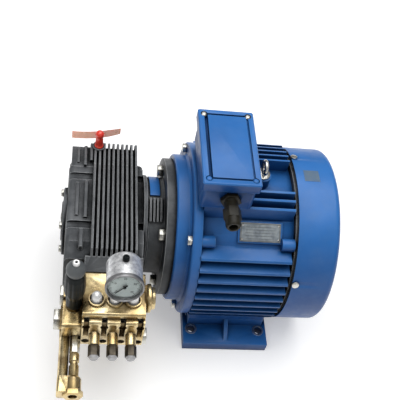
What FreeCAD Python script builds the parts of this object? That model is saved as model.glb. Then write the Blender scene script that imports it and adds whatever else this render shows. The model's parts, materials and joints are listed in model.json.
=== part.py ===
"""Electric pressure washer pump: a triplex plunger pump bolted to a foot-mounted motor.

Frame, in millimetres: the origin is on the floor at the centre of the four foot holes, +X runs
along the shaft from the pump to the fan, +Z is up, and the pump's head faces -Y.
"""
import FreeCAD
import Part
import math
import os

Vector = FreeCAD.Vector

# ---- Driving dimensions ----
SHAFT_Z = 132.0             # height of the motor shaft and of the crankshaft
RUN_GAP = 0.05              # radial clearance of every running fit

# Motor
FRAME_X0, FRAME_X1 = -67.0, 62.0
BARREL_R = 113.0            # outside of the finned barrel
STATOR_R = 104.0            # bore of the barrel
SIDE_FIN_R, TOP_FIN_R = 130.0, 134.0
FIN_THICK = 3.2
FIN_X1 = FRAME_X1 - 3.0     # the fins stop short of the cowl
SIDE_FIN_PITCH = 16.0
TOP_FIN_Y = (-53.0, -41.0, -29.0, 29.0, 41.0, 53.0, 65.0, 77.0)
UNDER_FIN_Y = (-45.0, -30.0, -15.0, 0.0, 15.0, 30.0, 45.0)
FOOT_HOLE_X, FOOT_HOLE_Y = 105.0, 216.0
FOOT_HOLE_R = 6.0
FOOT_LENGTH, FOOT_REACH, FOOT_THICK = 130.0, 133.0, 18.0
FOOT_INNER_Y, FOOT_PAD_Y0, FOOT_PAD_Y, FOOT_PAD_Z = 62.0, 68.0, 100.0, 36.0
FOOT_PAD_X = 58.0
FOOT_BOLT_X, FOOT_BOLT_Y = 35.0, 81.0
RIM_R, RIM_X = 127.0, -80.0          # drive end shield: outer rim and its outer face
FLANGE_R, FLANGE_X = 108.0, -100.0   # motor flange and the face that the bell bolts to
FLANGE_BOLT_PCD = 165.0
SPIGOT_R = 65.0
SHIELD_BOLT_R = 118.0
COWL_X0, COWL_X1, COWL_R = 65.0, 126.0, 129.0
COWL_EDGE_R = 9.0           # rounding of the cowl's rear edge
COWL_WALL = 2.0
SHAFT_R, SHAFT_X0, SHAFT_X1 = 19.0, -103.0, 106.0
BEARING_R, BEARING_WIDTH = 40.0, 14.0
FAN_BEARING_R = 31.0
DRIVE_BEARING_X, FAN_BEARING_X = -76.0, 66.0
CORE_X = 36.0               # half length of the stator and rotor cores
ROTOR_R = 62.0
FAN_X0, FAN_R, FAN_BLADES = 88.0, 112.0, 9

# Terminal box
BOX_X0, BOX_X1, BOX_Y = -76.0, -7.0, 61.0
BOX_Z0, BOX_Z1 = 262.0, 302.0
COVER_X0, COVER_X1, COVER_Y, COVER_Z = -80.0, -3.0, 66.0, 317.0
GLAND_X, GLAND_Z = -38.0, 282.0
EYE_X, EYE_RING_R, EYE_WIRE_R = 16.0, 8.5, 3.0
EYE_Z = BOX_Z0 + 16.0       # centre of the lifting eye's ring

# Bell housing and coupling
BELL_X0, BELL_X1 = -142.0, -113.0
NECK_R, NECK_BORE = 70.0, 61.0
BELL_FLOOR_R, BELL_SCREW_R = 42.5, 52.0
BELL_FLANGE_R = 101.0
COUPLING_R = 33.0
JAW_X0, JAW_X1 = -112.0, -104.0

# Crankcase
CASE_X0, CASE_X1 = -249.0, -142.0
CASE_REAR_Y = 60.0
CASE_TOP_Z, CASE_BOTTOM_Z = 187.0, 74.0
CASE_FRONT_Y = -92.0
HEAD_REAR_Y, HEAD_FRONT_Y = -109.0, -175.0
FIN_TOP_Z, CASE_FINS, CASE_FIN_X, CASE_FIN_PITCH = 195.0, 10, -212.0, 6.65
CASE_FIN_THICK = 2.8
CAVITY_X0, CAVITY_X1, CAVITY_Y = -222.0, -148.0, -60.0
CRANK_BEARING_R, CRANK_BEARING_WIDTH = 28.0, 14.0
LEFT_BEARING_X, RIGHT_BEARING_X = -240.0, -146.0
REAR_COVER_Y = 105.0
CASE_SHOULDER_R = 8.0       # rounding of the crankcase's upper left edge
BEARING_COVER_R, BEARING_SCREW_R = 49.0, 41.0
# Ribs on the left of the deck: x, start and end along Y, and rise
DECK_RIBS = ((-235.0, -30.0, 28.0, 3.0), (-223.0, -34.0, 30.0, 4.5), (-227.5, -84.0, -54.0, 5.0))
REAR_RIBS = ((-236.0, 66.0, 94.0, 3.0), (-226.0, 60.0, 96.0, 5.0), (-217.5, 68.0, 100.0, 7.0))

# Crank, rods and plungers
CYLINDER_X = (-203.0, -179.0, -155.0)
THROW = 6.5
JOURNAL_R, PIN_R, PIN_WIDTH = 15.0, 13.0, 12.0
ROD_LENGTH = 48.0
WRIST_PIN_R = 3.5
GUIDE_R = 11.0
PLUNGER_R = 9.0
PLUNGER_FRONT_Y = -146.0

# Pump head
HEAD_X0, HEAD_X1 = -220.5, -138.0
HEAD_Z0, HEAD_Z1 = 90.0, 170.0
HEAD_BOLT_X = (-214.5, -191.0, -167.0, -144.0)
HEAD_BOLT_Z = (SHAFT_Z - 19.0, SHAFT_Z + 19.0)
CHAMBER_R, CHAMBER_Y = 9.6, -160.0
VALVE_Y = -154.0
VALVE_BORE, VALVE_SEAT_R = 8.0, 4.5
PACKING_R = 11.3
DELIVERY_SEAT_Z = 150.0
DELIVERY_Y, DELIVERY_Z = -142.0, 160.0
DELIVERY_GALLERY_Y = -145.0
SUCTION_Y, SUCTION_Z = -166.0, 100.0
SUCTION_BORE = 4.8
GALLERY_R = 4.0
PAD_FRONT_Y = -183.0         # face of the ribbed pad on the front of the head
SUCTION_SEAT_Y = -200.0      # face of the suction bosses, where the plugs seat
SUCTION_BOSS_R = 7.2
DELIVERY_BOSS_R, DELIVERY_RECESS_R = 11.0, 9.2
BOLT_HEAD_R = 5.0

# Unloader and outlet
UPPER_BANJO_Y, UPPER_BANJO_Z = -130.0, 140.0
LOWER_BANJO_Y, LOWER_BANJO_Z = -147.0, 105.0
KNOB_X, KNOB_Y = -232.0, -150.0
KNOB_Z0, KNOB_Z1 = 154.0, 254.0
UNLOADER_X0, BOSS_X0 = -246.0, -249.0   # left faces of the valve block and of its lower boss
OUTLET_X, OUTLET_Z, OUTLET_Y = -227.5, 116.0, -264.0
BYPASS_X, BYPASS_Z = -241.5, 113.0
OUTLET_PORT_R, OUTLET_PORT_DEPTH = 6.0, 14.0

# Gauge and oil plug
GAUGE_X, GAUGE_Z, GAUGE_R = -170.5, 222.0, 25.0
GAUGE_FRONT_Y, GAUGE_BACK_Y, GAUGE_STEM_Y = -168.0, -121.0, -134.0
DIAL_Y = GAUGE_FRONT_Y + 5.0   # face of the dial
FILLER_Y, FILLER_R = DIAL_Y + 24.0, 4.5
SPINDLE_R = 2.0
GAUGE_TILT = 10.0              # degrees that the dial looks upwards
OIL_X, OIL_Y = -207.5, 93.5
OIL_BOSS_R = 9.0

AXES = {"x": Vector(1, 0, 0), "y": Vector(0, 1, 0), "z": Vector(0, 0, 1)}


# ---- Helpers ----
def point(axis, along, first, second):
    """A point at `along` on the named axis and at (first, second) on the other two, in X, Y, Z order."""
    if axis == "x":
        return Vector(along, first, second)
    if axis == "y":
        return Vector(first, along, second)
    return Vector(first, second, along)


def box(x0, x1, y0, y1, z0, z1):
    """A block between two corners."""
    return Part.makeBox(x1 - x0, y1 - y0, z1 - z0, Vector(x0, y0, z0))


def cylinder(axis, first, second, start, end, radius):
    """A cylinder along the named axis from start to end."""
    return Part.makeCylinder(radius, end - start, point(axis, start, first, second), AXES[axis])


def tube(axis, first, second, start, end, outer, inner):
    """A plain ring or tube."""
    bore = cylinder(axis, first, second, start, end, inner)
    return cylinder(axis, first, second, start, end, outer).cut(bore)


def prism(axis, first, second, start, end, across, sides=6):
    """A regular prism, measured across its flats."""
    radius = across / 2 / math.cos(math.pi / sides)
    turns = [2 * math.pi * i / sides for i in range(sides + 1)]
    corners = [point(axis, start, first + radius * math.cos(turn), second + radius * math.sin(turn))
               for turn in turns]
    return Part.Face(Part.makePolygon(corners)).extrude(AXES[axis] * (end - start))


def turned(axis, first, second, outline):
    """A solid of revolution about the named axis, from its half outline of (along, radius) points."""
    corners = [point(axis, along, first + radius, second) for along, radius in outline]
    face = Part.Face(Part.makePolygon(corners + corners[:1]))
    return face.revolve(point(axis, 0, first, second), AXES[axis], 360)


def ball(x, y, z, radius):
    """A sphere."""
    return Part.makeSphere(radius, Vector(x, y, z))


def extruded(x0, x1, outline, fillet=0.0):
    """A solid along X from its outline of (y, z) points, with its long edges rounded."""
    corners = [Vector(x0, y, z) for y, z in outline]
    solid = Part.Face(Part.makePolygon(corners + corners[:1])).extrude(Vector(x1 - x0, 0, 0))
    if fillet:
        solid = rounded(solid, fillet, "x")
    return solid


def rounded(solid, radius, axis):
    """The solid with every straight edge along the named axis rounded."""
    edges = []
    for edge in solid.Edges:
        run = edge.Vertexes[-1].Point - edge.Vertexes[0].Point
        if run.Length > 0 and abs(run.normalize().dot(AXES[axis])) > 0.999:
            edges.append(edge)
    return solid.makeFillet(radius, edges)


def wedge(x0, x1, start, end, reach):
    """A sector about the shaft axis between two angles in degrees, measured from +Z towards +Y."""
    steps = 6
    angles = [math.radians(start + (end - start) * i / steps) for i in range(steps + 1)]
    rim = [(reach * math.sin(a), SHAFT_Z + reach * math.cos(a)) for a in angles]
    return extruded(x0, x1, [(0.0, SHAFT_Z)] + rim)


def joined(solids):
    """One fused solid without leftover seams."""
    return solids[0].multiFuse(solids[1:]).removeSplitter()


def around_shaft(radius, count=4, first=45.0):
    """(y, z) of points spaced evenly on a circle about the shaft axis."""
    turns = [math.radians(first + 360.0 * i / count) for i in range(count)]
    return [(radius * math.sin(a), SHAFT_Z + radius * math.cos(a)) for a in turns]


def drilled(solid, holes):
    """The solid with every hole cut out of it."""
    return solid.cut(holes) if holes else solid


def hex_bolt(axis, first, second, head, seat, tip, across, radius):
    """A hexagon bolt: its head runs from head to seat, and its shank from seat to tip."""
    low, high = min(seat, tip), max(seat, tip)
    cap = prism(axis, first, second, min(head, seat), max(head, seat), across)
    return cap.fuse(cylinder(axis, first, second, low, high, radius))


def socket_bolt(axis, first, second, head, seat, tip, head_r, radius):
    """A socket head bolt with a hexagon recess in its head."""
    low, high = min(seat, tip), max(seat, tip)
    cap = cylinder(axis, first, second, min(head, seat), max(head, seat), head_r)
    depth = (seat - head) * 0.6
    recess = prism(axis, first, second, min(head, head + depth), max(head, head + depth), head_r)
    return cap.cut(recess).fuse(cylinder(axis, first, second, low, high, radius))


# ---- Motor ----
def side_fins():
    """Level fins on both flanks of the barrel."""
    ring = tube("x", 0, SHAFT_Z, FRAME_X0, FIN_X1, SIDE_FIN_R, BARREL_R - 3)
    fins = []
    for i in range(-4, 6):
        z = SHAFT_Z - 6 + SIDE_FIN_PITCH * i
        plate = box(FRAME_X0, FRAME_X1, -SIDE_FIN_R, SIDE_FIN_R, z - FIN_THICK / 2, z + FIN_THICK / 2)
        fins += plate.common(ring).Solids
    return [fin for fin in fins if abs(fin.CenterOfMass.y) > 60]


def upright_fins():
    """Upright fins on the barrel's top and underside."""
    top = tube("x", 0, SHAFT_Z, FRAME_X0, FIN_X1, TOP_FIN_R, BARREL_R - 3)
    fins = []
    half = FIN_THICK / 2
    for y in TOP_FIN_Y:
        plate = box(FRAME_X0, FRAME_X1, y - half, y + half, SHAFT_Z + 60, SHAFT_Z + TOP_FIN_R)
        fins += plate.common(top).Solids
    for y in UNDER_FIN_Y:
        plate = box(FRAME_X0, FRAME_X1, y - half, y + half, 8, SHAFT_Z - 60)
        fins += plate.common(top).Solids
    return fins


def nameplate_solid(inner, outer, length, width):
    """A flat plate tangent to the barrel on its near upper flank."""
    plate = box(14 - length / 2, 14 + length / 2, -width / 2, width / 2, inner, outer)
    plate.rotate(Vector(0, 0, 0), Vector(1, 0, 0), 37.5)
    plate.translate(Vector(0, 0, SHAFT_Z))
    return plate


def motor_frame():
    """Cast barrel with fins, foot pads, bolt ears, terminal pad and eye boss."""
    solids = [cylinder("x", 0, SHAFT_Z, FRAME_X0, FRAME_X1, BARREL_R)]
    solids += side_fins() + upright_fins()
    for side in (-1, 1):
        low, high = sorted((side * FOOT_PAD_Y, side * FOOT_PAD_Y0))
        solids.append(box(-FOOT_PAD_X, FOOT_PAD_X, low, high, FOOT_PAD_Z, SHAFT_Z - 40))
    for y, z in around_shaft(SHIELD_BOLT_R):
        solids.append(cylinder("x", y, z, FRAME_X0, FRAME_X0 + 18, 9))
        solids.append(cylinder("x", y, z, FRAME_X1 - 18, FRAME_X1, 9))
    solids.append(box(FRAME_X0, BOX_X1 - 2, -54, 54, SHAFT_Z + 70, BOX_Z0))
    solids.append(cylinder("z", EYE_X, 0, SHAFT_Z + 90, BOX_Z0 + 1, 12))
    solids.append(nameplate_solid(BARREL_R - 8, BARREL_R + 3, 62, 30))
    frame = joined(solids)
    holes = [cylinder("x", 0, SHAFT_Z, FRAME_X0, FRAME_X1, STATOR_R)]
    holes += [cylinder("z", x, y, FOOT_PAD_Z, FOOT_PAD_Z + 16, 5.0)
              for x in (-FOOT_BOLT_X, FOOT_BOLT_X) for y in (-FOOT_BOLT_Y, FOOT_BOLT_Y)]
    for y, z in around_shaft(SHIELD_BOLT_R):
        holes.append(cylinder("x", y, z, FRAME_X0, FRAME_X0 + 14, 4.0))
        holes.append(cylinder("x", y, z, FRAME_X1 - 14, FRAME_X1, 4.0))
    holes.append(cylinder("z", EYE_X, 0, BOX_Z0 - 11, BOX_Z0 + 1, 5.0))
    holes.append(box(FRAME_X0 - 1, BOX_X1 + 2, -70, 70, BOX_Z0, BOX_Z0 + 20))
    return drilled(frame, holes)


def motor_feet():
    """Two bolt-on feet, each a floor plate with a raised pad and a stiffening rib."""
    feet = []
    for side in (-1, 1):
        plate = [(FOOT_INNER_Y, 0), (FOOT_REACH, 0), (FOOT_REACH, FOOT_THICK), (FOOT_INNER_Y, FOOT_THICK)]
        pad = [(FOOT_PAD_Y0, FOOT_THICK), (FOOT_PAD_Y, FOOT_THICK), (FOOT_PAD_Y, FOOT_PAD_Z),
               (FOOT_PAD_Y0, FOOT_PAD_Z)]
        rib = [(FOOT_PAD_Y, FOOT_THICK), (FOOT_REACH - 5, FOOT_THICK), (FOOT_PAD_Y, FOOT_PAD_Z)]
        half = FOOT_LENGTH / 2
        foot = joined([extruded(-half, half, [(side * y, z) for y, z in plate]),
                       extruded(-FOOT_PAD_X, FOOT_PAD_X, [(side * y, z) for y, z in pad]),
                       extruded(-3, 3, [(side * y, z) for y, z in rib])])
        holes = [cylinder("z", x, side * FOOT_HOLE_Y / 2, 0, FOOT_THICK, FOOT_HOLE_R)
                 for x in (-FOOT_HOLE_X / 2, FOOT_HOLE_X / 2)]
        for x in (-FOOT_BOLT_X, FOOT_BOLT_X):
            holes.append(cylinder("z", x, side * FOOT_BOLT_Y, 0, 12, 11))
            holes.append(cylinder("z", x, side * FOOT_BOLT_Y, 0, FOOT_PAD_Z, 5.0))
        feet.append(drilled(foot, holes))
    return Part.makeCompound(feet)


def frame_bolts():
    """Bolts that hold the feet and both end shields to the frame."""
    bolts = [hex_bolt("z", x, y, 5, 12, FOOT_PAD_Z + 15, 16, 5.0)
             for x in (-FOOT_BOLT_X, FOOT_BOLT_X) for y in (-FOOT_BOLT_Y, FOOT_BOLT_Y)]
    for y, z in around_shaft(SHIELD_BOLT_R):
        bolts.append(hex_bolt("x", y, z, RIM_X - 6, RIM_X, FRAME_X0 + 13, 12, 4.0))
        bolts.append(hex_bolt("x", y, z, FRAME_X1 + 16, FRAME_X1 + 10, FRAME_X1 - 13, 12, 4.0))
    return Part.makeCompound(bolts)


def drive_end_shield():
    """Flanged end shield: rim against the frame, bearing hub, and the motor flange."""
    bearing_x1 = DRIVE_BEARING_X + BEARING_WIDTH
    shield = turned("x", 0, SHAFT_Z, [
        (FLANGE_X, SPIGOT_R), (FLANGE_X, FLANGE_R - 2), (FLANGE_X + 2, FLANGE_R), (RIM_X - 3, FLANGE_R),
        (RIM_X, FLANGE_R + 3), (RIM_X, RIM_R - 2), (RIM_X + 2, RIM_R), (FRAME_X0, RIM_R),
        (FRAME_X0, STATOR_R), (FRAME_X0 + 5, STATOR_R), (FRAME_X0 + 5, STATOR_R - 6),
        (FRAME_X0 - 5, STATOR_R - 6), (FRAME_X0 - 5, BEARING_R + 8), (bearing_x1, BEARING_R + 8),
        (bearing_x1, BEARING_R), (DRIVE_BEARING_X, BEARING_R), (DRIVE_BEARING_X, SHAFT_R + 3),
        (DRIVE_BEARING_X - 6, SHAFT_R + 3), (DRIVE_BEARING_X - 6, SPIGOT_R)])
    holes = [cylinder("x", y, z, FLANGE_X, FLANGE_X + 18, 5.0)
             for y, z in around_shaft(FLANGE_BOLT_PCD / 2)]
    holes += [cylinder("x", y, z, RIM_X, FRAME_X0, 4.0) for y, z in around_shaft(SHIELD_BOLT_R)]
    return drilled(shield, holes)


def fan_end_shield():
    """End shield under the cowl, with the fan side bearing hub."""
    hub_x1 = FAN_BEARING_X + BEARING_WIDTH
    inner_r = FAN_BEARING_R
    shield = turned("x", 0, SHAFT_Z, [
        (FRAME_X1, RIM_R - 3.5), (COWL_X0 + 1, RIM_R - 3.5), (COWL_X0 + 1, RIM_R - 0.3),
        (FRAME_X1 + 10, RIM_R - 0.3), (FRAME_X1 + 10, inner_r + 9),
        (hub_x1 + 3, inner_r + 6), (hub_x1 + 3, SHAFT_R - 1), (hub_x1, SHAFT_R - 1), (hub_x1, inner_r),
        (FAN_BEARING_X, inner_r), (FRAME_X1 - 5, inner_r), (FRAME_X1 - 5, inner_r + 8),
        (FRAME_X1 + 3, inner_r + 8), (FRAME_X1 + 3, STATOR_R - 6), (FRAME_X1 - 5, STATOR_R - 6),
        (FRAME_X1 - 5, STATOR_R), (FRAME_X1, STATOR_R)])
    holes = [cylinder("x", y, z, FRAME_X1, FRAME_X1 + 10, 4.0) for y, z in around_shaft(SHIELD_BOLT_R)]
    holes += cowl_screw_parts(2.5, RIM_R - 14, RIM_R)
    return drilled(shield, holes)


def cowl_screw_parts(radius, inner, outer):
    """Radial cylinders where the four cowl screws go, between two radii."""
    parts = []
    for angle in (20.0, 110.0, 200.0, 290.0):
        way = Vector(0, math.sin(math.radians(angle)), math.cos(math.radians(angle)))
        start = Vector(COWL_X0 + 4, 0, SHAFT_Z) + way * inner
        parts.append(Part.makeCylinder(radius, outer - inner, start, way))
    return parts


def fan_cowl():
    """Pressed steel cowl with a rounded rear edge and a slotted inlet grille."""
    shell = cylinder("x", 0, SHAFT_Z, COWL_X0, COWL_X1, COWL_R)
    shell = shell.makeFillet(COWL_EDGE_R, [e for e in shell.Edges if e.BoundBox.XMin > COWL_X1 - 1])
    hollow = cylinder("x", 0, SHAFT_Z, COWL_X0, COWL_X1 - COWL_WALL, COWL_R - COWL_WALL)
    rear = [e for e in hollow.Edges if e.BoundBox.XMin > COWL_X1 - COWL_WALL - 1]
    hollow = hollow.makeFillet(COWL_EDGE_R - COWL_WALL, rear)
    slots = []
    for i in range(24):
        slot = box(COWL_X1 - 10, COWL_X1 + 1, 38, 96, -3, 3)
        slot.rotate(Vector(0, 0, 0), Vector(1, 0, 0), 15.0 * i)
        slot.translate(Vector(0, 0, SHAFT_Z))
        slots.append(slot)
    return drilled(shell, [hollow] + slots + cowl_screw_parts(2.5, COWL_R - 4, COWL_R + 1))


def panel_screws():
    """Pan head screws of the cowl, the terminal cover and the coupling cover."""
    screws = []
    shanks = cowl_screw_parts(2.5, RIM_R - 13, COWL_R)
    heads = cowl_screw_parts(5.0, COWL_R, COWL_R + 2.5)
    screws += [shank.fuse(head) for shank, head in zip(shanks, heads)]
    for x, y in cover_screw_places():
        seat, top = COVER_Z - 3, COVER_Z + 0.5
        head = turned("z", x, y, [(seat, 0), (seat, 4.2), (COVER_Z - 1, 4.2), (top, 2.5), (top, 0)])
        screws.append(head.fuse(cylinder("z", x, y, BOX_Z1 - 12, seat, 2.0)))
    return Part.makeCompound(screws)


def cover_screw_places():
    """(x, y) of the terminal cover's corner screws."""
    return [(x, y) for x in (BOX_X0 + 4, BOX_X1 - 4) for y in (-BOX_Y + 4, BOX_Y - 4)]


def cooling_fan():
    """Radial fan: a hub, a back disc and straight blades."""
    bore = SHAFT_R - 4
    hub = tube("x", 0, SHAFT_Z, FAN_X0, SHAFT_X1, 27, bore)
    disc = tube("x", 0, SHAFT_Z, FAN_X0, FAN_X0 + 3, FAN_R - 4, bore)
    solids = [hub, disc]
    for i in range(FAN_BLADES):
        blade = box(FAN_X0, SHAFT_X1, 25, FAN_R, -1.5, 1.5)
        blade.rotate(Vector(0, 0, 0), Vector(1, 0, 0), 360.0 / FAN_BLADES * i)
        blade.translate(Vector(0, 0, SHAFT_Z))
        solids.append(blade)
    return joined(solids)


def motor_shaft():
    """Stepped motor shaft from the coupling to the fan."""
    bearing_x1 = DRIVE_BEARING_X + BEARING_WIDTH
    return turned("x", 0, SHAFT_Z, [
        (SHAFT_X0, 0), (SHAFT_X0, SHAFT_R - 1), (SHAFT_X0 + 1, SHAFT_R), (bearing_x1, SHAFT_R),
        (bearing_x1, 22), (FAN_BEARING_X, 22), (FAN_BEARING_X, SHAFT_R - 4),
        (SHAFT_X1, SHAFT_R - 4), (SHAFT_X1, 0)])


def motor_bearings():
    """Shielded ball bearings at the drive and fan ends."""
    drive_x1, fan_x1 = DRIVE_BEARING_X + BEARING_WIDTH, FAN_BEARING_X + BEARING_WIDTH
    return Part.makeCompound([
        tube("x", 0, SHAFT_Z, DRIVE_BEARING_X, drive_x1, BEARING_R, SHAFT_R + RUN_GAP),
        tube("x", 0, SHAFT_Z, FAN_BEARING_X, fan_x1, FAN_BEARING_R, SHAFT_R - 4 + RUN_GAP)])


def stator_windings():
    """Winding overhangs at both ends of the stator core."""
    rings = []
    for inner_x, outer_x in ((-CORE_X, -CORE_X - 18), (CORE_X, CORE_X + 16)):
        low, high = sorted((inner_x, outer_x))
        rings.append(tube("x", 0, SHAFT_Z, low, high, 92, 68))
    return Part.makeCompound(rings)


# ---- Terminal box, gland, eye, nameplate ----
def terminal_box():
    """Open box with corner posts, screwed to the pad on the frame."""
    shell = rounded(box(BOX_X0, BOX_X1, -BOX_Y, BOX_Y, BOX_Z0, BOX_Z1), 4, "z")
    shell = shell.cut(box(BOX_X0 + 4, BOX_X1 - 4, -BOX_Y + 4, BOX_Y - 4, BOX_Z0 + 4, BOX_Z1))
    posts = [cylinder("z", x, y, BOX_Z0, BOX_Z1, 4.5) for x, y in cover_screw_places()]
    shell = joined([shell] + posts)
    holes = [cylinder("z", x, y, BOX_Z1 - 12, BOX_Z1, 2.0) for x, y in cover_screw_places()]
    holes.append(cylinder("y", GLAND_X, GLAND_Z, -BOX_Y, -BOX_Y + 4, 9.0))
    return drilled(shell, holes)


def terminal_cover():
    """Cast cover with a panel framed by a groove, deeper on the left, and countersunk corner screws."""
    block = box(COVER_X0, COVER_X1, -COVER_Y, COVER_Y, BOX_Z1, COVER_Z)
    block = rounded(block, 3, "z")
    block = block.makeChamfer(1.5, [e for e in block.Edges if e.BoundBox.ZMin > COVER_Z - 0.1])
    ring = box(COVER_X0 + 8, COVER_X1 - 8, -COVER_Y + 8, COVER_Y - 8, COVER_Z - 2.5, COVER_Z)
    panel = box(COVER_X0 + 13, COVER_X1 - 11, -COVER_Y + 11, COVER_Y - 11, COVER_Z - 2.5, COVER_Z)
    trench = box(COVER_X0 + 8, COVER_X0 + 13, -COVER_Y + 8, COVER_Y - 8, COVER_Z - 6.5, COVER_Z)
    hollow = box(COVER_X0 + 16, BOX_X1 - 6, -BOX_Y + 12, BOX_Y - 12, BOX_Z1, COVER_Z - 5)
    holes = [ring.cut(panel).fuse(trench), hollow]
    for x, y in cover_screw_places():
        holes.append(cylinder("z", x, y, COVER_Z - 3, COVER_Z, 4.5))
        holes.append(cylinder("z", x, y, BOX_Z1, COVER_Z, 2.0))
    return drilled(block, holes)


def cable_gland():
    """Cable gland on the box's near wall: locking hexagon, body, dome nut and mouth."""
    face = -BOX_Y
    body = joined([
        prism("y", GLAND_X, GLAND_Z, face - 6, face, 24),
        cylinder("y", GLAND_X, GLAND_Z, face - 20, face + 4, 9.0),
        prism("y", GLAND_X, GLAND_Z, face - 34, face - 18, 21),
        turned("y", GLAND_X, GLAND_Z, [(face - 46, 0), (face - 46, 8.5), (face - 43, 10), (face - 34, 10.3),
                                       (face - 34, 0)])])
    return body.cut(cylinder("y", GLAND_X, GLAND_Z, face - 46, face + 4, 6.0))


def lifting_eye():
    """Eye bolt screwed into the boss on top of the frame."""
    seat = BOX_Z0 + 1
    ring = Part.makeTorus(EYE_RING_R, EYE_WIRE_R, Vector(EYE_X, 0, EYE_Z), Vector(1, 0, 0))
    collar = turned("z", EYE_X, 0, [(seat, 0), (seat, 10), (seat + 3, 10), (seat + 5, 5), (seat + 5, 0)])
    return joined([ring, collar, cylinder("z", EYE_X, 0, seat - 11, seat, 5.0)])


# ---- Coupling and bell housing ----
def coupling_half(x0, x1, jaw_angle, bore):
    """One hub of the jaw coupling, with three jaws."""
    solids = [cylinder("x", 0, SHAFT_Z, x0, x1, COUPLING_R)]
    ring = tube("x", 0, SHAFT_Z, JAW_X0, JAW_X1, COUPLING_R, 14)
    for i in range(3):
        middle = jaw_angle + 120.0 * i
        solids.append(ring.common(wedge(JAW_X0, JAW_X1, middle - 20, middle + 20, COUPLING_R + 5)))
    return joined(solids).cut(cylinder("x", 0, SHAFT_Z, x0, x1, bore))


def coupling_spider():
    """Elastic spider whose six legs fill the gaps between the jaws."""
    x0, x1 = JAW_X0 + 0.5, JAW_X1 - 0.5
    ring = tube("x", 0, SHAFT_Z, x0, x1, COUPLING_R - 1, 12)
    solids = [tube("x", 0, SHAFT_Z, x0, x1, 13.9, 8)]
    for i in range(6):
        middle = 30 + 60 * i
        solids.append(ring.common(wedge(x0, x1, middle - 9.5, middle + 9.5, COUPLING_R + 5)))
    return joined(solids)


def bell_housing():
    """Bell between pump and motor: neck, flange, ribs on top and a window over the coupling."""
    body = turned("x", 0, SHAFT_Z, [
        (BELL_X0, BELL_FLOOR_R), (BELL_X0, NECK_R + 4), (BELL_X0 + 5, NECK_R + 4), (BELL_X0 + 7, NECK_R),
        (BELL_X1 - 6, NECK_R), (BELL_X1, NECK_R + 3), (BELL_X1, BELL_FLANGE_R), (FLANGE_X, BELL_FLANGE_R),
        (FLANGE_X, SPIGOT_R), (FLANGE_X + 5, SPIGOT_R), (FLANGE_X + 5, SPIGOT_R - 6), (FLANGE_X, NECK_BORE),
        (BELL_X0 + 6, NECK_BORE), (BELL_X0 + 6, BELL_FLOOR_R)])
    solids = [body]
    for x in (-133.0, -128.0, -123.0, -118.0):
        ring = tube("x", 0, SHAFT_Z, x - 1.3, x + 1.3, NECK_R + 5, NECK_R - 3)
        solids.append(ring.common(wedge(x - 1.3, x + 1.3, -32, -5, NECK_R + 15)))
    body = joined(solids)
    window = tube("x", 0, SHAFT_Z, BELL_X0 + 11, BELL_X1 - 7, NECK_R + 1, NECK_BORE - 1)
    holes = [window.common(wedge(BELL_X0 + 11, BELL_X1 - 7, 12, 68, NECK_R + 15))]
    holes += [cylinder("x", y, z, BELL_X1, FLANGE_X, 5.0) for y, z in around_shaft(FLANGE_BOLT_PCD / 2)]
    holes += [cylinder("x", y, z, BELL_X0, BELL_X0 + 6, 3.0) for y, z in bell_screw_places()]
    return drilled(body, holes)


def bell_screw_places():
    """(y, z) of the screws that hold the bell to the crankcase."""
    return around_shaft(BELL_SCREW_R)


def bell_bolts():
    """Bolts from the bell to the motor flange, and screws from the bell to the crankcase."""
    bolts = [hex_bolt("x", y, z, BELL_X1 - 8, BELL_X1, FLANGE_X + 16, 15, 5.0)
             for y, z in around_shaft(FLANGE_BOLT_PCD / 2)]
    bolts += [hex_bolt("x", y, z, BELL_X0 + 10, BELL_X0 + 6, CASE_X1 - 10, 9, 3.0)
              for y, z in bell_screw_places()]
    return Part.makeCompound(bolts)


def coupling_cover():
    """Curved cover plate over the bell's window, with a turned-up front edge."""
    x0, x1 = BELL_X0 + 8.5, BELL_X1 - 6.5
    plate = tube("x", 0, SHAFT_Z, x0, x1, NECK_R + 2.5, NECK_R + RUN_GAP)
    return plate.common(wedge(x0, x1, 0, 80, NECK_R + 20))


# ---- Crankcase ----
def case_fin_places():
    """X of each cooling fin on the crankcase and rear cover."""
    return [CASE_FIN_X + CASE_FIN_PITCH * i for i in range(CASE_FINS)]


def deck_rib(x, width, y0, y1, rise):
    """A rounded rib along Y on the deck of the crankcase or of its rear cover."""
    rib = box(x - width / 2, x + width / 2, y0, y1, CASE_TOP_Z - 4, CASE_TOP_Z + rise)
    return rounded(rib, width * 0.4, "y")


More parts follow.
